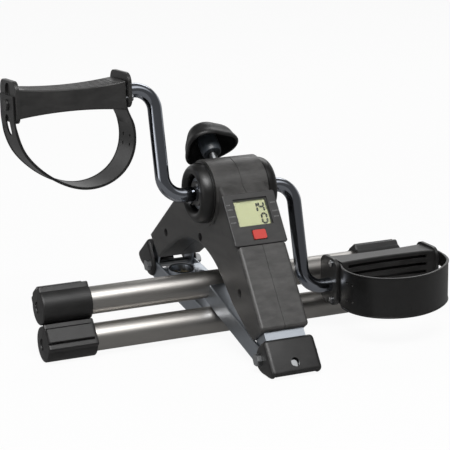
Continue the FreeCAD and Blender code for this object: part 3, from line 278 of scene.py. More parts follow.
# every finish: colour, roughness and the values of its group; plastics use moulded, metals use drawn
finishes = {
    "shell": dict(kind="moulded", color=(0.052, 0.0505, 0.049), rough=0.42, grain=1500.0, cloud=0.6,
                  streak=0.8, bump=0.00006),
    "console": dict(kind="moulded", color=(0.026, 0.0252, 0.0248), rough=0.4, grain=1800.0, cloud=0.5,
                    streak=0.6, bump=0.00004),
    "pedal": dict(kind="moulded", color=(0.026, 0.0255, 0.025), rough=0.33, grain=1100.0, cloud=0.5,
                  streak=0.5, bump=0.00006),
    "strap": dict(kind="moulded", color=(0.0095, 0.0092, 0.009), rough=0.33, grain=900.0, cloud=0.35,
                  streak=0.3, bump=0.00003),
    "cap": dict(kind="moulded", color=(0.0115, 0.0112, 0.011), rough=0.42, grain=1300.0, cloud=0.6,
                streak=0.6, bump=0.00006),
    "knob": dict(kind="moulded", color=(0.0075, 0.0073, 0.0073), rough=0.46, grain=1000.0, cloud=0.4,
                 streak=0.3, bump=0.00008),
    "tube": dict(kind="drawn", color=(0.42, 0.405, 0.385), rough=0.4, along=(6.0, 700.0, 700.0),
                 streak=0.06, stain=0.12, bump=0.00001),
    "sheet": dict(kind="drawn", color=(0.40, 0.43, 0.47), rough=0.34, along=(60.0, 160.0, 160.0),
                  streak=0.10, stain=0.22, bump=0.00001),
    "crank": dict(kind="drawn", color=(0.34, 0.36, 0.40), rough=0.12, along=(30.0, 60.0, 60.0),
                  streak=0.04, stain=0.06, bump=0.000004),
    "bolt": dict(kind="drawn", color=(0.42, 0.43, 0.44), rough=0.3, along=(200.0, 200.0, 200.0),
                 streak=0.1, stain=0.2, bump=0.00001),
    "screw": dict(kind="drawn", color=(0.42, 0.43, 0.45), rough=0.26, along=(300.0, 300.0, 300.0),
                  streak=0.1, stain=0.2, bump=0.00001),
    "brass": dict(kind="drawn", color=(0.36, 0.29, 0.17), rough=0.34, along=(200.0, 200.0, 200.0),
                  streak=0.1, stain=0.2, bump=0.00001),
    "bush": dict(kind="moulded", color=(0.50, 0.49, 0.45), rough=0.45, grain=900.0, cloud=0.08,
                 streak=0.05, bump=0.00003),
    "pad": dict(kind="moulded", color=(0.05, 0.04, 0.032), rough=0.7, grain=600.0, cloud=0.2,
                streak=0.1, bump=0.0001),
    "lcd": dict(kind="moulded", color=(0.35, 0.352, 0.215), rough=0.35, grain=2500.0, cloud=0.03,
                streak=0.02, bump=0.000003),
    "board": dict(kind="moulded", color=(0.02, 0.12, 0.04), rough=0.4, grain=900.0, cloud=0.1,
                  streak=0.1, bump=0.00002),
    "cell": dict(kind="drawn", color=(0.6, 0.6, 0.6), rough=0.25, along=(200.0, 200.0, 200.0),
                 streak=0.1, stain=0.1, bump=0.00001),
    "button": dict(kind="moulded", color=(0.56, 0.05, 0.038), rough=0.42, grain=900.0, cloud=0.08,
                   streak=0.04, bump=0.00003),
    "digit": dict(kind="moulded", color=(0.012, 0.014, 0.010), rough=0.5, grain=900.0, cloud=0.02,
                  streak=0.0, bump=0.000002),
    "cover": dict(kind="moulded", color=(0.0075, 0.0072, 0.007), rough=0.36, grain=1500.0, cloud=0.3,
                  streak=0.3, bump=0.00006),
    "block": dict(kind="moulded", color=(0.0145, 0.0142, 0.014), rough=0.38, grain=1400.0, cloud=0.6,
                  streak=0.6, bump=0.00006),
    "boss": dict(kind="moulded", color=(0.045, 0.053, 0.062), rough=0.34, grain=900.0, cloud=0.2,
                 streak=0.1, bump=0.00004),
    "print": dict(kind="moulded", color=(0.17, 0.17, 0.17), rough=0.5, grain=1500.0, cloud=0.1,
                  streak=0.0, bump=0.00001),
}
materials = {}


def makeFinish(name):
    # one material: the finish's own group feeds colour, roughness and bump
    f = finishes[name]
    m = bpy.data.materials.new(name)
    m.use_nodes = True
    tree = m.node_tree
    shader = tree.nodes["Principled BSDF"]
    where = tree.nodes.new("ShaderNodeTexCoord").outputs["Object"]
    effect = tree.nodes.new("ShaderNodeGroup")
    effect.node_tree = mouldedGroup if f["kind"] == "moulded" else drawnGroup
    tree.links.new(where, effect.inputs["Vector"])
    effect.inputs["Color"].default_value = (*f["color"], 1)
    effect.inputs["Roughness"].default_value = f["rough"]
    effect.inputs["Streak"].default_value = f["streak"]
    if f["kind"] == "moulded":
        effect.inputs["Grain Scale"].default_value = f["grain"]
        effect.inputs["Cloud"].default_value = f["cloud"]
    else:
        effect.inputs["Along"].default_value = f["along"]
        effect.inputs["Stain"].default_value = f["stain"]
        shader.inputs["Metallic"].default_value = 1.0
    tree.links.new(effect.outputs["Color"], shader.inputs["Base Color"])
    tree.links.new(effect.outputs["Roughness"], shader.inputs["Roughness"])
    bump = tree.nodes.new("ShaderNodeBump")
    bump.inputs["Strength"].default_value = 1.0
    bump.inputs["Distance"].default_value = f["bump"]
    tree.links.new(effect.outputs["Height"], bump.inputs["Height"])
    tree.links.new(bump.outputs[0], shader.inputs["Normal"])
    materials[name] = m


for finish in finishes:
    makeFinish(finish)


glassFinish = dict(tint=(0.95, 0.97, 0.93), bend=1.12, smear=0.03, smearScale=90.0)


def makeGlass():
    # thin clear window with a faint smear
    m = bpy.data.materials.new("glass")
    m.use_nodes = True
    tree = m.node_tree
    shader = tree.nodes["Principled BSDF"]
    shader.inputs["Base Color"].default_value = (*glassFinish["tint"], 1)
    shader.inputs["Transmission Weight"].default_value = 1.0
    shader.inputs["IOR"].default_value = glassFinish["bend"]
    where = tree.nodes.new("ShaderNodeTexCoord").outputs["Object"]
    smear = noiseNode(tree, where, glassFinish["smearScale"], 4.0, 0.6)
    tree.links.new(mathNode(tree, "MULTIPLY", smear, glassFinish["smear"]), shader.inputs["Roughness"])
    materials["glass"] = m


makeGlass()
slotOf = {s["node"]: s["material_slot"] for s in frame["record"]["subparts"]}
for name, node in nodes.items():
    node.data.materials.clear()
    node.data.materials.append(materials[slotOf[name]])
print("finishes on every carried-over node")


def place(piece, finish, body, *replaced):
    # material, body, and the nodes it stands for, which are hidden
    piece.data.materials.clear()
    piece.data.materials.append(materials[finish])
    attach(piece, body)
    if replaced:
        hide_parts(*replaced)
    return piece


def middle(name):
    # middle of a node's box
    low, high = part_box(name)
    return (np.array(low) + np.array(high)) / 2


tubeSize = dict(radius=14.0 * mm, wall=1.5 * mm, half=199.5 * mm, edge=0.3 * mm, steps=128)


def floorTube(which):
    # a rectangle of length by wall, corners eased, turned about the tube's axis
    s = tubeSize
    half, outer, inner = s["half"], s["radius"], s["radius"] - s["wall"]
    profile = roundCorners([(-half, outer), (half, outer), (half, inner), (-half, inner)], s["edge"], 3)
    piece = turnedSolid(which + "TubeSteel", profile, middle(which + "_tube"), (1, 0, 0), s["steps"])
    place(piece, "tube", which + "_leg", which + "_tube")


for which in ("front", "rear"):
    floorTube(which)
print("floor tubes made")

capSize = dict(round=18.0, flankOut=16.6, flankHalf=14.4, blockOut=19.5, blockHalf=7.6, groove=0.9, start=151.0,
               end=202.5, dome=1.2, edge=1.6, blockStart=154.5, blockEnd=200.0, dimple=1.3, tube=14.0,
               mouth=8.0, padWay=dict(front=(0.57508, 0.81809), rear=(-0.75463, 0.65615)))


def capSection(s, block):
    # half of the pad side from the middle of the block to the round back: (across, out) in the cap's own plane
    out = s["flankOut"] + (s["blockOut"] - s["flankOut"]) * block
    side = [(0.0, out), (s["blockHalf"] - 0.7, out), (s["blockHalf"], out - 0.6 * block),
            (s["blockHalf"] + 0.15, s["flankOut"] - s["groove"] * block),
            (s["blockHalf"] + 1.1, s["flankOut"] - s["groove"] * block), (s["blockHalf"] + 1.6, s["flankOut"]),
            (s["flankHalf"] - 1.2, s["flankOut"]), (s["flankHalf"], s["flankOut"] - 1.4),
            (s["flankHalf"] + 0.2, math.sqrt(s["round"] ** 2 - (s["flankHalf"] + 0.2) ** 2))]
    a0 = math.atan2(side[-1][1], side[-1][0])
    a = np.linspace(a0, -math.pi / 2, 40)[1:]
    half = np.concatenate([np.array(side), np.stack([np.cos(a), np.sin(a)], 1) * s["round"]])
    other = half[1:-1][::-1] * (-1, 1)
    return np.concatenate([half, other])


def tubeCap(which, way):
    # sections carried along the tube, drawn in to a rounded, slightly domed and dimpled end
    s = capSize
    x = np.concatenate([[s["start"], s["start"] + 0.5, s["blockStart"] - 0.3, s["blockStart"] + 0.4],
                        np.linspace(s["blockStart"] + 2, s["blockEnd"] - 2, 8), [s["blockEnd"] - 0.4]])
    block = np.concatenate([[0, 0, 0, 1], np.ones(8), [1]])
    rows, xs, scale = [capSection(s, b) for b in block], list(x), [0.985] + [1.0] * (len(x) - 1)
    for k in np.linspace(0, math.pi / 2, 6):
        rows.append(capSection(s, 1.0 - k / (math.pi / 2) * 0.55))
        xs.append(s["end"] - s["edge"] + s["edge"] * math.sin(k))
        scale.append(1 - s["edge"] / s["round"] * (1 - math.cos(k)))
    last = scale[-1]
    for w in (0.86, 0.7, 0.5, 0.36, 0.33, 0.28, 0.15, 0.02):
        rows.append(capSection(s, 0.45))
        dip = s["dimple"] if w < 0.34 else 0.0
        xs.append(s["end"] + s["dome"] * (1 - w * w) - s["dome"] * (1 - last * last) - dip)
        scale.append(last * w)
    # the mouth: from the outer rim in to the tube, then a short wall inside
    mouth = capSection(s, 0.0)
    mouth = mouth / np.linalg.norm(mouth, axis=1)[:, None] * (s["tube"] + 0.05)
    rows = np.concatenate([[mouth, mouth], np.stack(rows) * np.array(scale)[:, None, None]])
    xs = np.array([s["start"] + s["mouth"], s["start"]] + xs)
    out = np.array(s["padWay"][which])
    across = np.array([-out[1], out[0]])
    yz = rows[..., :1] * across + rows[..., 1:] * out
    grid = np.concatenate([np.broadcast_to((way * xs)[:, None, None], yz.shape[:2] + (1,)), yz], -1) * mm
    grid = grid + middle(which + "_tube") * (0, 1, 1)
    side = "left" if way < 0 else "right"
    piece = gridPiece(which + "Cap" + side.title(), grid, sharp=28)
    place(piece, "cap", which + "_leg", which + "_cap_" + side)


for which in ("front", "rear"):
    for way in (-1, 1):
        tubeCap(which, way)
print("tube caps made")

crankSize = dict(radius=7.3, bend=20.0, arm=71.0, armPedal=68.5, start=0.2, spindleEnd=207.0, steps=40, arc=18,
                 endEdge=0.8)


def bentPath(points, bend, arc):
    # straight runs joined by arcs that touch them: each arc turns from one run's direction to the next
    out = [points[0]]
    for a, b, c in zip(points, points[1:], points[2:]):
        d0, d1 = (b - a) / np.linalg.norm(b - a), (c - b) / np.linalg.norm(c - b)
        turn = math.acos(np.clip(d0 @ d1, -1, 1))
        p0 = b - d0 * bend * math.tan(turn / 2)
        side = d1 - d0 * (d0 @ d1)
        side /= np.linalg.norm(side)
        t = np.linspace(0, turn, arc)[:, None]
        out += list(p0 + bend * (np.sin(t) * d0 + (1 - np.cos(t)) * side))
    out.append(points[-1])
    return np.array(out)


def carriedRound(path, radius, flatNormal, steps):
    # a round section carried along a path that lies in the plane of the given normal
    tangent = np.gradient(path, axis=0)
    tangent[0], tangent[-1] = path[1] - path[0], path[-1] - path[-2]
    tangent /= np.linalg.norm(tangent, axis=1)[:, None]
    side = np.cross(tangent, flatNormal)
    side /= np.linalg.norm(side, axis=1)[:, None]
    a = np.linspace(0, 2 * np.pi, steps, endpoint=False)
    radius = np.broadcast_to(radius, len(path))[:, None, None]
    ring = np.cos(a)[None, :, None] * side[:, None] + np.sin(a)[None, :, None] * flatNormal
    return path[:, None] + radius * ring


def crankArm(side, way):
    # half of the rod: out along the axle, up the arm and out along the spindle, with an eased end
    s = crankSize
    throw = jointAt["pedal_" + side + "_turn"] - crankAt
    arm = np.linalg.norm(throw)
    out = throw / arm
    x = np.array((1.0, 0, 0))
    spots = [(s["start"], 0), (s["arm"], 0), (s["armPedal"], arm / mm), (s["spindleEnd"], arm / mm)]
    path = bentPath([crankAt + (way * a * x + b * out) * mm for a, b in spots], s["bend"] * mm, s["arc"])
    back = path[-2] - path[-1]
    back *= s["endEdge"] * mm / np.linalg.norm(back)
    radius = np.concatenate([np.full(len(path) - 1, s["radius"]), s["radius"] - np.array((0, 0.25, 0.8))]) * mm
    path = np.concatenate([path[:-1], path[-1] + back * np.array((1, 0.3, 0))[:, None]])
    grid = carriedRound(path, radius, np.cross(x, out), s["steps"])
    place(gridPiece("crankRod" + side.title(), grid, sharp=40), "crank", "crank", "crank_" + side)


for side, way in (("left", -1), ("right", 1)):
    crankArm(side, way)
print("crank made")

coverSize = dict(inner=28.5, recess=18.5, rim=31.0, band=1.9, dome=42.0, crown=24.0)


def hubCover(side, way):
    # a ring turned about the crank axis: thin band, groove, then a tyre-like dome that rolls into the recess
    s = coverSize
    x0 = s["inner"] + s["band"] + 0.5
    outer, crown = s["rim"] - 0.3, s["crown"]
    t = np.linspace(0, math.pi / 2, 20)
    roll = np.linspace(0, math.pi / 2, 9)[1:]
    # quarter ellipse from the outer edge to the crown, then a quarter circle down into the recess
    dome = np.stack([x0 + (s["dome"] - x0) * np.sin(t), crown + (outer - crown) * np.cos(t)], 1)
    lip = crown - s["recess"]
    fall = np.stack([s["dome"] - lip * (1 - np.cos(roll)), crown - lip * np.sin(roll)], 1)
    profile = [(s["inner"], s["recess"]), (s["inner"], s["rim"] - 0.3), (s["inner"] + 0.3, s["rim"]),
               (s["inner"] + s["band"] - 0.3, s["rim"]), (s["inner"] + s["band"], s["rim"] - 0.3),
               (s["inner"] + s["band"] + 0.1, outer - 0.8), (x0, outer - 0.8)] + dome.tolist() + fall.tolist()
    profile = np.array(profile) * mm
    piece = turnedSolid("hubCover" + side.title(), profile * (way, 1), crankAt, (1, 0, 0), 128, 40)
    place(piece, "cover", "base", "hub_cover_" + side)


for side, way in (("left", -1), ("right", 1)):
    hubCover(side, way)
print("hub covers made")

knobSize = dict(low=53.0, tall=24.0, radius=27.6, lobe=0.115, turn=8.0, wall=2.4, boss=10.6, bossLow=46.0,
                screwHole=4.2)
knobJoint = [j for j in frame["joints"] if j["name"] == "tension_turn"][0]


def tensionKnob():
    # radius(height, angle) = ring * (1 + lobe * cos 3 angle), the lobes fading towards the axis;
    # the skin is (height, ring, share of the lobe), from the hollow under the knob round its edge to the top
    s = knobSize
    r, h, w = s["radius"], s["tall"], s["wall"]
    skin = [(h - 5.0, 3.0, 0), (h - 5.5, r * 0.40, 0.6), (h - 6.5, r * 0.55, 0.8), (h - 9.5, r - 8.5, 1),
            (h * 0.35, r - w - 1.2, 1), (1.0, r - w, 1), (0.2, r - w + 0.3, 1), (0.0, r - w / 2, 1),
            (0.0, r - 0.5, 1), (0.6, r, 1), (h * 0.3, r - 1.2, 1), (h * 0.55, r - 3.0, 1), (h * 0.74, r - 5.6, 1),
            (h * 0.87, r - 9.4, 0.95), (h * 0.95, r - 15.0, 0.85), (h * 0.985, r * 0.22, 0.6), (h, 0.3, 0)]
    skin = np.array(skin)
    skin = np.concatenate([skin[:8], smoothLine(skin[8:], 36)])
    a = np.linspace(0, 2 * np.pi, 144, endpoint=False)
    ring = skin[:, 1:2] * (1 + s["lobe"] * skin[:, 2:3] * np.cos(3 * (a - math.radians(s["turn"]))))
    axis = np.array(knobJoint["axis"])
    up = np.cross(axis, (1.0, 0, 0))
    up = -up if up[2] < 0 else up
    centre = np.array([knobJoint["pos_m"][0], crankAt[1], crankAt[2]]) + axis * s["low"] * mm
    circle = np.cos(a)[None, :, None] * np.array((1.0, 0, 0)) + np.sin(a)[None, :, None] * up
    grid = centre + (skin[:, :1, None] * axis + ring[..., None] * circle) * mm
    place(gridPiece("knobBody", grid, sharp=50), "knob", "knob", "tension_knob")
    low, b = s["bossLow"] - s["low"], s["boss"]
    boss = roundCorners([(low, s["screwHole"]), (low, b - 1.0), (low + 6.0, b), (h - 5.2, b),
                         (h - 5.2, s["screwHole"])], 0.9, 5)
    place(turnedSolid("knobBoss", boss * mm, centre, axis, 72, 40), "boss", "knob")


tensionKnob()
print("knob made")

strapSize = dict(width=42.0, thick=1.8, lip=0.55, lipWide=1.7, reach=91.0, offset=4.0, inner=102.1, outer=218.9,
                 bulge=7.0, count=180, fork=(13.0, -13.0, -34.0), fadeStart=24.0, fadeOver=8.0, hole=1.7,
                 screwHole=3.7, lean=dict(left=-2.7, right=-90.0))


def pedalPoints(points, side):
    # points of a pedal drawn on the X axis, strap down: a half turn for the left one, lean, then to its spindle
    p = np.asarray(points, float)
    if side == "left":
        p = p * (-1, -1, 1)
    a = math.radians(strapSize["lean"][side])
    y = p[..., 1] * math.cos(a) - p[..., 2] * math.sin(a)
    z = p[..., 1] * math.sin(a) + p[..., 2] * math.cos(a)
    return np.stack([p[..., 0], y, z], -1) * mm + jointAt["pedal_" + side + "_turn"]


def strapPath(s):
    # the loop seen along Y, as (x, z): down from the inner plate, under the foot and up to the outer plate
    xi, xo, z = s["inner"], s["outer"], -s["reach"]
    xm = (xi + xo) / 2 - 12.0
    return smoothLine([(xi, -8.0), (xi, -13.5), (xi - 0.6 * s["bulge"], z * 0.28), (xi - s["bulge"], z * 0.42),
                       (xi - 0.85 * s["bulge"], z * 0.6), (xi + 4.0, z * 0.82), (xi + 20.0, z * 0.95), (xm, z),
                       (xo - 38.0, z * 0.87), (xo - 20.0, z * 0.71), (xo - 8.8, z * 0.55), (xo - 2.0, z * 0.34),
                       (xo, -17.0), (xo, -6.0), (xo, 6.0)], s["count"])


def strapBand(side):
    # a flat section with a raised lip at each edge, carried along the loop; the lips fade at the clamped ends
    s = strapSize
    path = strapPath(s)
    tangent = np.gradient(path, axis=0)
    tangent /= np.linalg.norm(tangent, axis=1)[:, None]
    normal = np.stack([tangent[:, 1], -tangent[:, 0]], 1)
    if normal[s["count"] // 2, 1] > 0:
        normal = -normal
    half, t, lip, wide = s["width"] / 2, s["thick"], s["lip"], s["lipWide"]
    foot = half - wide
    y = np.array([-half + 0.3, -foot - 0.4, -foot, 0, foot, foot + 0.4, half - 0.3, half, half, half - 0.3,
                  foot + 0.4, foot, 0, -foot, -foot - 0.4, -half + 0.3, -half, -half])
    flat = np.array([0, 0, 0, 0, 0, 0, 0, -0.3, -t + 0.3, -t, -t, -t, -t, -t, -t, -t, -t + 0.3, -0.3])
    under = -lip * 0.6
    up = np.array([lip, lip, 0, 0, 0, lip, lip, lip - 0.3, under + 0.3, under, under, 0, 0, 0, under, under,
                   under + 0.3, lip - 0.3])
    fade = np.clip((-path[:, 1] - s["fadeStart"]) / s["fadeOver"], 0, 1)[:, None]
    out = flat[None] + up[None] * fade
    grid = np.stack([path[:, :1] + normal[:, :1] * out, np.broadcast_to(y - s["offset"], out.shape),
                     path[:, 1:] + normal[:, 1:] * out], -1)
    piece = gridPiece("strapBand" + side.title(), pedalPoints(grid, side), sharp=30)
    xi, xo = s["inner"], s["outer"]
    r = s["hole"]
    holes = [turned([(xi - 12, r), (xi + 4, r)], np.array((0, across - s["offset"], drop)), (1, 0, 0), 20)
             for across in (-9.0, 9.0) for drop in (-44.0, -53.0)]
    r = s["screwHole"]
    holes.append(turned([(xo - 6, r), (xo + 4, r)], np.array((0, -4.0, -4.0)), (1, 0, 0), 32))
    wide, top, bottom = s["fork"]
    r = wide / 2
    a = np.linspace(0, math.pi, 14)
    loop = np.concatenate([np.stack([np.cos(a) * r - 4.0, np.sin(a) * r + top - r], 1),
                           np.stack([-np.cos(a) * r - 4.0, -np.sin(a) * r + bottom + r], 1)])
    slot = np.stack([np.concatenate([np.full((len(loop), 1), x), loop], 1) for x in (xo - 14, xo + 5)])
    cutters = [gridPiece("cutter", pedalPoints(h, side)) for h in holes + [slot]]
    cutAway(piece, cutters)
    place(piece, "strap", "pedal_" + side, "pedal_strap_" + side)


for side in ("left", "right"):
    strapBand(side)
print("straps made")

# a figure is (which, its left edge, its top edge); lit says which bars of it are dark
displaySize = dict(slope=54.6, faceN=36.55, thick=0.12, digitTall=9.8, digitWide=5.2, stroke=2.0, gap=0.12,
                   lean=0.05, figures=(("1", 1.6, 31.0), ("4", 9.0, 31.0), ("0", 9.2, 43.4)),
                   lit={"1": "bc", "4": "fgbc", "0": "abcdef"}, pointerHalf=(0.6, 0.5),
                   pointers=((17.0, 34.0), (17.0, 38.2), (-16.8, 46.0), (-16.8, 50.5), (-16.8, 33.0)))
frontSlope = math.radians(displaySize["slope"])
frontDown = np.array((0, -math.cos(frontSlope), -math.sin(frontSlope)))
frontOut = np.array((0, -math.sin(frontSlope), math.cos(frontSlope)))


def onFront(x, u, n):
    # a point x across, u down the front leg and n out from the crank axis: axis + x * X + u * down + n * out
    x, u, n = (np.asarray(value, float)[..., None] for value in (x, u, n))
    return crankAt + (np.array((1.0, 0, 0)) * x + frontDown * u + frontOut * n) * mm


def segmentShape(kind, s):
    # six-cornered bar of a seven-segment digit, (across, down) from the digit's top left
    w, h, t, g = s["digitWide"], s["digitTall"], s["stroke"], s["gap"]

    def flat(y):
        return [(g, y), (g + t / 2, y - t / 2), (w - g - t / 2, y - t / 2), (w - g, y),
                (w - g - t / 2, y + t / 2), (g + t / 2, y + t / 2)]

    def tall(x, y0, y1):
        return [(x, y0 + g), (x + t / 2, y0 + g + t / 2), (x + t / 2, y1 - g - t / 2), (x, y1 - g),
                (x - t / 2, y1 - g - t / 2), (x - t / 2, y0 + g + t / 2)]

    return {"a": flat(0), "g": flat(h / 2), "d": flat(h), "f": tall(0, 0, h / 2), "b": tall(w, 0, h / 2),
            "e": tall(0, h / 2, h), "c": tall(w, h / 2, h)}[kind]


def slabGrid(x0, x1, u0, u1, n0, n1):
    # a thin plate on the front, as two rings of four corners
    return onFront([[x0, x1, x1, x0]], [[u0, u0, u1, u1]], [[n0], [n1]])


def displayDigits():
    # every bar is its outline at two depths, leaned over by its height
    s = displaySize
    back = s["faceN"] - s["thick"]
    grids = []
    for text, x0, u0 in s["figures"]:
        for kind in s["lit"][text]:
            shape = np.array(segmentShape(kind, s))
            shape[:, 0] -= shape[:, 1] * s["lean"]
            grids.append(onFront(x0 + shape[None, :, 0], u0 + shape[None, :, 1], [[back], [s["faceN"]]]))
    # small pointers at both sides of the figures
    wide, tall = s["pointerHalf"]
    grids += [slabGrid(x - wide, x + wide, u - tall, u + tall, back, s["faceN"]) for x, u in s["pointers"]]
    place(joinGrids("displayDigits", grids), "digit", "base")


# front and rear: which way the leg runs, its slope, its bolt along and out from the crank axis, and its face
blockSize = dict(half=26.8, roundEnd=4.4, roundEdge=4.2, cheek=23.8, face=3.0, bolt=4.05, hole=4.6, pinAt=13.0,
                 guide=8.6, guideIn=6.4, pin=3.05, up=12.6, down=24.4, front=(-1, 54.6, (185.3, 19.5), 39.5),
                 rear=(1, 37.5, (193.1, 4.9), 31.7))


def hingeBlock(which):
    # a pillow-edged yoke: its side outline is carried along X and drawn in at both ends by a quarter circle
    s = blockSize
    way, slope, (bu, bn), face = s[which]
    slope = math.radians(slope)
    down = np.array((0, way * math.cos(slope), -math.sin(slope)))
    outward = np.array((0, way * math.sin(slope), math.cos(slope)))
    u0, u1 = bu - s["up"], bu + s["down"]
    side = [(u0, face), (u1, face), (u1 + 0.3, face - 9.0), (bu + 12.0, bn - 7.6), (bu + 4.0, bn - 12.5),
            (bu - 8.0, bn - 9.0), (u0 - 0.8, bn + 3.0)]
    r = s["roundEdge"]
    side = roundCorners(side, [r, r, 6.0, 7.0, 7.0, 7.0, 5.0], 7)
    middleUN = side.mean(0)
    t = np.linspace(0, math.pi / 2, 8)
    x = s["half"] - s["roundEnd"] * (1 - np.cos(t))
    inset = s["roundEnd"] * (1 - np.sin(t))
    xs, insets = np.concatenate([-x, x[::-1]]), np.concatenate([inset, inset[::-1]])
    away = side - middleUN
    reach = np.linalg.norm(away, axis=1)[:, None]

    def at(x, un):
        un = np.asarray(un)
        return crankAt + (np.array((x, 0, 0)) + un[..., :1] * down + un[..., 1:] * outward) * mm

    grid = np.stack([at(x, middleUN + away * (1 - i / reach)) for x, i in zip(xs, insets)])
    piece = gridPiece(which + "HingeBlock", grid, sharp=40)
    room = [(u0 - 40, bn - 60), (u1 + 40, bn - 60), (u1 + 40, face - s["face"]), (u0 - 40, face - s["face"])]
    bolt, hole = np.array([(-60, s["bolt"]), (60, s["bolt"])]), np.array([(-10, s["hole"]), (10, s["hole"])])
    cutters = [np.stack([at(x, room) for x in (-s["cheek"], s["cheek"])]),
               turned(bolt * mm, at(0, (bu, bn)), (1, 0, 0), 40),
               turned(hole * mm, at(0, (bu + s["pinAt"], face)), outward, 40)]
    cutAway(piece, [gridPiece("cutter", grid) for grid in cutters])
    place(piece, "block", "base", "hinge_block_" + which)
    guide = [(bn + 7.4, s["pin"]), (bn + 7.4, s["guide"]), (face - s["face"] + 0.02, s["guide"]),
             (face - s["face"] + 0.02, s["guideIn"]), (bn + 9.0, s["guideIn"]), (bn + 9.0, s["pin"])]
    guide = np.array(guide) * mm
    place(turnedSolid(which + "PinGuide", guide, at(0, (bu + s["pinAt"], 0.0)), outward, 48), "block", "base")


for which in ("front", "rear"):
    hingeBlock(which)
print("hinge blocks made")

# a mark is (left edge, top edge, how many strokes); top, right, left and low are the widths of the painted shade
# strips inside the window, ring the width of the painted shade round the button
surroundSize = dict(windowHalf=18.3, windowTop=26.4, windowEnd=55.6, inset=0.1, shadeN=37.8, shadeThick=0.06,
                    top=1.9, right=1.7, left=0.35, low=0.5, buttonHalf=7.2, buttonTop=60.5, buttonEnd=70.7,
                    ring=0.8, faceN=39.3, markTall=1.25, markWide=0.75,
                    marks=((-26.2, 31.0, 3), (-26.2, 36.0, 4), (-26.6, 43.5, 5), (-26.2, 50.0, 4),
                           (20.6, 33.0, 4), (20.9, 42.0, 5), (20.9, 48.0, 4)))


def frameGrids(x0, x1, u0, u1, left, right, top, low, n0, n1):
    # four strips inside a rectangle, widths given for each side
    return [slabGrid(x0, x1, u0, u0 + top, n0, n1), slabGrid(x0, x1, u1 - low, u1, n0, n1),
            slabGrid(x0, x0 + left, u0 + top, u1 - low, n0, n1),
            slabGrid(x1 - right, x1, u0 + top, u1 - low, n0, n1)]


def displaySurround():
    # painted shade along the inside of the window's edge, widest at its top and right where the recess walls fall
    # in shade, painted shade of the gap round the button, and rows of plain strokes
    s = surroundSize
    half, inset, edge = s["windowHalf"], s["inset"], s["ring"]
    # dark strips inside the window: painted shade of its recess walls
    windowShade = frameGrids(-half + inset, half - inset, s["windowTop"] + inset, s["windowEnd"] - inset, s["left"],
                      s["right"], s["top"], s["low"], s["shadeN"], s["shadeN"] + s["shadeThick"])
    # a thin dark frame laid on the face round the button: painted shade of its gap
    half = s["buttonHalf"] + edge
    ring = frameGrids(-half, half, s["buttonTop"] - edge, s["buttonEnd"] + edge, edge, edge, edge, edge,
                      s["faceN"] - 0.05, s["faceN"] + 0.03)
    # the window's and the button's painted shade both use the dark digit finish
    place(joinGrids("displayShade", windowShade + ring), "digit", "base")
    starts = [(x + k * s["markWide"] * 1.9, u) for x, u, count in s["marks"] for k in range(count)]
    strokes = [slabGrid(x, x + s["markWide"], u, u + s["markTall"], s["faceN"] - 0.02, s["faceN"] + 0.03)
               for x, u in starts]
    place(joinGrids("displayMarks", strokes), "print", "base")


displayDigits()
displaySurround()
print("display made")

socketSize = dict(slope=188.1, along=43.0, x=-7.0, hole=12.9, lip=14.2, low=2.2, face=6.6, tall=4.2, plate=4.4,
                  screw=2.4, screwRing=7.9, screwTurns=(0.6, 2.7, 4.8))


def legSocket():
    # collar and plate in the rear leg's round hole: a turned lip, a dished plate and screws round its middle
    s = socketSize
    slope = math.radians(s["slope"])
    run = np.array((0, math.cos(slope), math.sin(slope)))
    up = np.array((0, math.sin(slope), -math.cos(slope)))
    centre = jointAt["rear_leg_fold"] * (0, 1, 1) + (np.array((s["x"], 0, 0)) + run * s["along"]) * mm
    face = s["face"]
    lip = roundCorners([(s["low"], s["hole"]), (face + 0.02, s["hole"]), (face + 0.02, s["lip"]),
                        (face + s["tall"], s["lip"]), (face + s["tall"], s["hole"] - 1.6),
                        (s["plate"] + 1.0, s["hole"] - 2.4), (s["low"], s["hole"] - 2.4)], 0.4, 4)
    place(turnedSolid("legCollar", lip * mm, centre, up, 72, 35), "sheet", "rear_leg")
    plate = roundCorners([(s["low"], 0.3), (s["low"], s["hole"] - 2.5), (s["plate"], s["hole"] - 2.5),
                          (s["plate"] - 0.8, 6.2), (s["plate"] + 0.6, 5.4), (s["plate"] + 0.6, 0.3)], 0.4, 4)
    place(turnedSolid("legCollarPlate", plate * mm, centre, up, 72, 35), "brass", "rear_leg")
    for turn in s["screwTurns"]:
        at = centre + (np.array((1.0, 0, 0)) * math.cos(turn) + run * math.sin(turn)) * s["screwRing"] * mm
        low, high, r = s["plate"] - 0.9, s["plate"] + 1.3, s["screw"]
        head = roundCorners([(low, 0.2), (low, r), (s["plate"] + 0.9, r), (high, r * 0.5), (high, 0.2)], 0.35, 4)
        place(turnedSolid("collarScrew", head * mm, at, up, 28, 35), "screw", "rear_leg")


legSocket()
print("leg collar made")

studioSize = dict(toCamera=(-0.414, -0.910, 0.0), toRight=(0.910, -0.414, 0.0), dark=0.13, overhead=1.2,
                  strip=0.7, back=0.62, fill=0.20, floorHalf=6.0, floorColor=0.86, floorRough=0.9, floorSeen=0.94,
                  floorReflected=0.88, floorTone=0.20, aim=(0.0, 0.0, 0.12))
lampSize = dict(keyAbove=dict(at=(-0.5, -1.3, 2.1), size=(1.6, 0.9), power=46.0),
                sideLeft=dict(at=(-2.2, -0.5, 0.9), size=(0.4, 1.3), power=2.5),
                backRight=dict(at=(1.3, 1.6, 1.6), size=(1.2, 0.8), power=10.0))


def areaLight(name, at, size, power):
    # a white box lamp turned to the object
    lamp = bpy.data.lights.new(name, "AREA")
    lamp.shape, lamp.size, lamp.size_y, lamp.energy = "RECTANGLE", size[0], size[1], power
    holder = bpy.data.objects.new(name, lamp)
    holder.location = at
    holder.rotation_euler = (Vector(studioSize["aim"]) - Vector(at)).to_track_quat("-Z", "Y").to_euler()
    bpy.context.scene.collection.objects.link(holder)


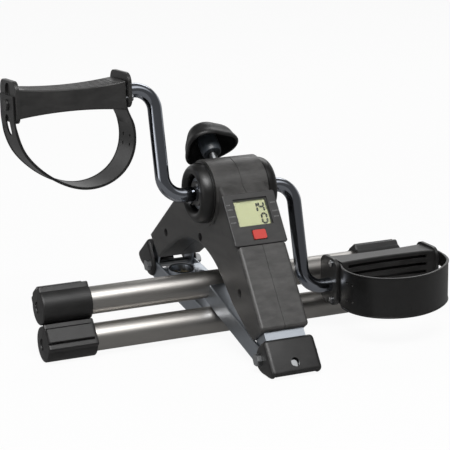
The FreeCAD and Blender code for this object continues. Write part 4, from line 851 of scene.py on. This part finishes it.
def rampNode(tree, value, low, high):
    # 0 below the low value, 1 above the high one, smooth between
    node = tree.nodes.new("ShaderNodeMapRange")
    node.interpolation_type = "SMOOTHSTEP"
    node.inputs["From Min"].default_value, node.inputs["From Max"].default_value = low, high
    tree.links.new(value, node.inputs["Value"])
    return node.outputs["Result"]


def alongNode(tree, vector, way):
    # the part of a direction that lies along a given one
    node = tree.nodes.new("ShaderNodeVectorMath")
    node.operation = "DOT_PRODUCT"
    node.inputs[1].default_value = way
    tree.links.new(vector, node.inputs[0])
    return node.outputs["Value"]


def surroundings(tree):
    # what polished faces see: a dark room, a wide box overhead in front, a strip at the left, a dim back
    s = studioSize
    way = tree.nodes.new("ShaderNodeTexCoord").outputs["Generated"]
    front, right, up = (alongNode(tree, way, v) for v in (s["toCamera"], s["toRight"], (0, 0, 1)))
    over = mathNode(tree, "MULTIPLY", rampNode(tree, up, 0.50, 0.72), rampNode(tree, front, -0.15, 0.25))
    left = mathNode(tree, "MULTIPLY", rampNode(tree, right, -0.42, -0.60), rampNode(tree, front, 0.30, 0.48))
    left = mathNode(tree, "MULTIPLY", left, rampNode(tree, up, 0.75, 0.55))
    behind = mathNode(tree, "MULTIPLY", rampNode(tree, front, -0.25, -0.75), rampNode(tree, up, 0.42, 0.22))
    total = mathNode(tree, "ADD", s["dark"], mathNode(tree, "MULTIPLY", over, s["overhead"]))
    total = mathNode(tree, "ADD", total, mathNode(tree, "MULTIPLY", left, s["strip"]))
    return mathNode(tree, "ADD", total, mathNode(tree, "MULTIPLY", behind, s["back"]))


def paleFloor(scene):
    # a wide flat floor, close to white to the eye and dim in reflections
    s = studioSize
    h = s["floorHalf"]
    floorMesh = bpy.data.meshes.new("floor")
    floorMesh.from_pydata([(-h, -h, 0), (h, -h, 0), (h, h, 0), (-h, h, 0)], [], [(0, 1, 2, 3)])
    floor = bpy.data.objects.new("floor", floorMesh)
    scene.collection.objects.link(floor)
    m = bpy.data.materials.new("paleFloor")
    m.use_nodes = True
    tree = m.node_tree
    shader = tree.nodes["Principled BSDF"]
    shader.inputs["Base Color"].default_value = (s["floorColor"], s["floorColor"], s["floorColor"], 1)
    shader.inputs["Roughness"].default_value = s["floorRough"]
    path = tree.nodes.new("ShaderNodeLightPath")
    result = shader.outputs[0]
    for ray, share, value in (("Is Camera Ray", s["floorSeen"], 1.0),
                              ("Is Glossy Ray", s["floorReflected"], s["floorTone"])):
        glow = tree.nodes.new("ShaderNodeEmission")
        glow.inputs["Color"].default_value = (value, value, value, 1)
        mix = tree.nodes.new("ShaderNodeMixShader")
        tree.links.new(mathNode(tree, "MULTIPLY", path.outputs[ray], share), mix.inputs[0])
        tree.links.new(result, mix.inputs[1])
        tree.links.new(glow.outputs[0], mix.inputs[2])
        result = mix.outputs[0]
    tree.links.new(result, tree.nodes["Material Output"].inputs["Surface"])
    floorMesh.materials.append(m)


def studio():
    # white to the eye, the surroundings in reflections, a dim even light on everything
    scene = bpy.context.scene
    scene.view_settings.view_transform = "Standard"
    world = bpy.data.worlds.new("studio")
    scene.world = world
    world.use_nodes = True
    tree = world.node_tree
    path = tree.nodes.new("ShaderNodeLightPath")
    seen = mathNode(tree, "MAXIMUM", path.outputs["Is Camera Ray"], path.outputs["Is Transmission Ray"])
    mirrored = mathNode(tree, "MULTIPLY", surroundings(tree), path.outputs["Is Glossy Ray"])
    other = mathNode(tree, "SUBTRACT", 1.0, mathNode(tree, "MAXIMUM", seen, path.outputs["Is Glossy Ray"]))
    diffuse = mathNode(tree, "MULTIPLY", other, studioSize["fill"])
    strength = mathNode(tree, "ADD", mathNode(tree, "ADD", seen, mirrored), diffuse)
    back = tree.nodes["Background"]
    back.inputs["Color"].default_value = (1, 1, 1, 1)
    tree.links.new(strength, back.inputs["Strength"])
    paleFloor(scene)
    for name, lamp in lampSize.items():
        areaLight(name, **lamp)


cameraSize = dict(offset=(-0.6971, -1.5308, 0.3850), azimuth=-114.32, elevation=14.075, roll=-0.852, lens=136.5)


def placeCamera():
    # offset is from the crank axis; azimuth and elevation say where the camera stands, roll turns its frame
    s = cameraSize
    azimuth, elevation, roll = (math.radians(s[key]) for key in ("azimuth", "elevation", "roll"))
    back = Vector((math.cos(elevation) * math.cos(azimuth), math.cos(elevation) * math.sin(azimuth),
                   math.sin(elevation)))
    level = Vector((-math.sin(azimuth), math.cos(azimuth), 0))
    lift = back.cross(level)
    right = level * math.cos(roll) + lift * math.sin(roll)
    turn = Matrix((right, back.cross(right), back)).transposed().to_4x4()
    data = bpy.data.cameras.new("camera")
    data.lens, data.sensor_width = s["lens"], 36.0
    data.clip_start, data.clip_end = 0.05, 50.0
    camera = bpy.data.objects.new("camera", data)
    camera.matrix_world = Matrix.Translation(Vector(crankAt) + Vector(s["offset"])) @ turn
    bpy.context.scene.collection.objects.link(camera)
    bpy.context.scene.camera = camera


studio()
placeCamera()
print("studio made")
